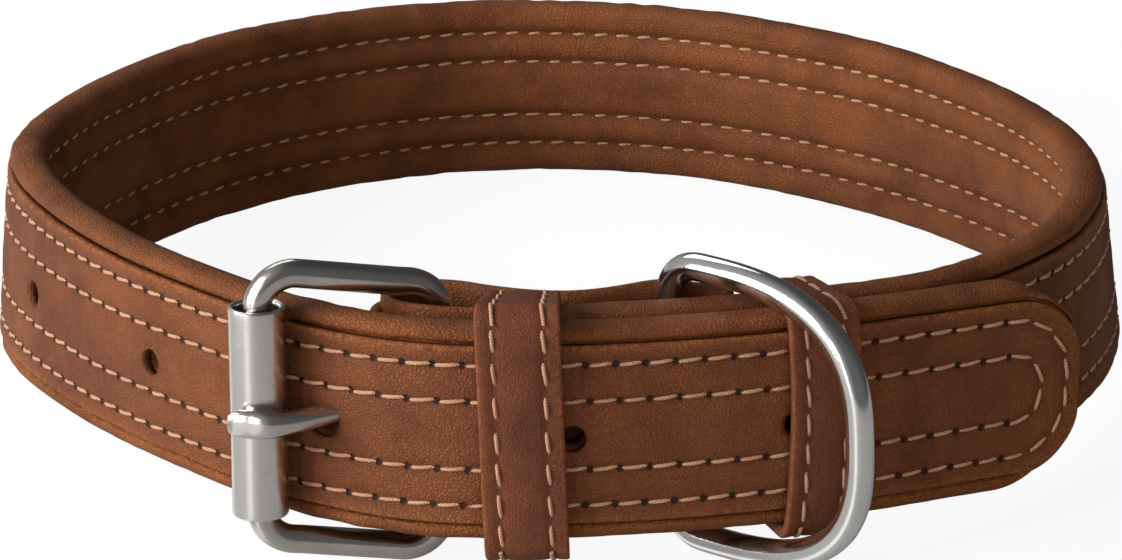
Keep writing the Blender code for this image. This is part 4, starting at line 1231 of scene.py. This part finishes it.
# %% Stage
def floor():
    """Pale floor, white to the camera, with a painted glowing band that only reflections see."""
    mesh = bpy.data.meshes.new("studio_floor")
    size = 6.0
    mesh.from_pydata([(-size, -size, 0), (size, -size, 0), (size, size, 0), (-size, size, 0)], [], [(0, 1, 2, 3)])
    piece = bpy.data.objects.new("studio_floor", mesh)
    bpy.context.scene.collection.objects.link(piece)
    material = bpy.data.materials.new("studio_paper")
    material.use_nodes = True
    tree = material.node_tree
    tree.nodes.clear()
    seen = node(tree, "ShaderNodeLightPath").outputs["Is Camera Ray"]
    tone = mixed(tree, seen, (0.34, 0.33, 0.32, 1.0), (0.86, 0.86, 0.86, 1.0))
    paper = node(tree, "ShaderNodeBsdfDiffuse", {"Color": tone})
    glow = node(tree, "ShaderNodeEmission", {"Color": (1.0, 1.0, 1.0, 1.0), "Strength": 1.04})
    # Painted reflection: to glossy rays the floor glows, most in a band to one side, which the steel mirrors as bright
    # bands.
    mirrored = node(tree, "ShaderNodeLightPath").outputs["Is Glossy Ray"]
    towards = node(tree, "ShaderNodeNewGeometry").outputs["Incoming"]
    side = node(tree, "ShaderNodeSeparateXYZ", {0: towards}).outputs[0]
    mirror_glow = maths(tree, "MULTIPLY", spread(tree, side, -0.15, 0.35), 0.13)
    mirror_glow_band = maths(tree, "MULTIPLY", spread(tree, side, 0.35, 0.50), spread(tree, side, 0.80, 0.62))
    mirror_glow = maths(tree, "ADD", mirror_glow, maths(tree, "MULTIPLY", mirror_glow_band, 0.66))
    mirror_glow = maths(tree, "MULTIPLY", mirrored, maths(tree, "ADD", mirror_glow, 0.10))
    share = maths(tree, "ADD", maths(tree, "MULTIPLY", seen, 0.88), mirror_glow)
    both = node(tree, "ShaderNodeMixShader", {0: share, 1: paper.outputs[0], 2: glow.outputs[0]})
    tree.links.new(both.outputs[0], tree.nodes.new("ShaderNodeOutputMaterial").inputs[0])
    mesh.materials.append(material)


def lamp(name, place, aim, size, power, colour):
    """Soft square lamp aimed at a place."""
    light = bpy.data.lights.new(name, "AREA")
    light.shape = "RECTANGLE"
    light.size, light.size_y = size
    light.energy = power
    light.color = colour
    holder = bpy.data.objects.new(name, light)
    holder.location = place
    holder.rotation_euler = (Vector(aim) - Vector(place)).to_track_quat("-Z", "Y").to_euler()
    bpy.context.scene.collection.objects.link(holder)
    return holder


def sky():
    """White to the eye, shaded for reflections."""
    world = bpy.data.worlds.new("studio")
    world.use_nodes = True
    tree = world.node_tree
    tree.nodes.clear()
    direction = node(tree, "ShaderNodeTexCoord").outputs["Generated"]
    part = node(tree, "ShaderNodeSeparateXYZ", {0: direction}).outputs
    side = spread(tree, part[0], 0.1, -0.75)
    ahead = spread(tree, part[1], 0.3, -0.8)
    glow = maths(tree, "ADD", maths(tree, "MULTIPLY", side, 0.42), maths(tree, "MULTIPLY", ahead, 0.10))
    glow = maths(tree, "ADD", glow, 0.09)
    shade = node(tree, "ShaderNodeCombineColor", {0: glow, 1: glow, 2: glow}).outputs[0]
    seen = node(tree, "ShaderNodeLightPath").outputs["Is Camera Ray"]
    colour = mixed(tree, seen, shade, (1.0, 1.0, 1.0, 1.0))
    power = maths(tree, "ADD", maths(tree, "MULTIPLY", seen, 0.35), 0.65)
    light = node(tree, "ShaderNodeBackground", {"Color": colour, "Strength": power})
    out = tree.nodes.new("ShaderNodeOutputWorld")
    tree.links.new(light.outputs[0], out.inputs[0])
    bpy.context.scene.world = world


floor()
lamp("key_lamp", (-1.05, -0.42, 0.48), (0.0, 0.0, 0.02), (0.7, 0.8), 22.0, (1.0, 0.98, 0.95))
fill = lamp("fill_lamp", (0.55, -1.35, 0.45), (0.0, 0.0, 0.02), (2.0, 0.9), 8.0, (1.0, 0.98, 0.96))
fill.visible_glossy = False
lamp("strip_lamp", (-0.78, -1.06, 0.20), (-0.05, -0.1, 0.02), (0.13, 0.8), 2.6, (1.0, 1.0, 1.0))
lamp("back_lamp", (-0.35, 0.75, 0.75), (0.0, 0.0, 0.03), (0.6, 0.3), 1.6, (1.0, 1.0, 1.0))
sky()
bpy.context.scene.view_settings.view_transform = "Standard"

# %% Camera
camera_data = bpy.data.cameras.new("photo_camera")
camera_data.lens = 138.87
camera_data.sensor_width = 36.0
camera = bpy.data.objects.new("photo_camera", camera_data)
look = Matrix.Rotation(math.radians(90.0 - 17.75), 4, "X")
camera.matrix_world = STANDING @ Matrix.Translation((0.0, -0.8065, 0.2682)) @ look
bpy.context.scene.collection.objects.link(camera)
bpy.context.scene.camera = camera

# %% End
bpy.context.view_layer.update()
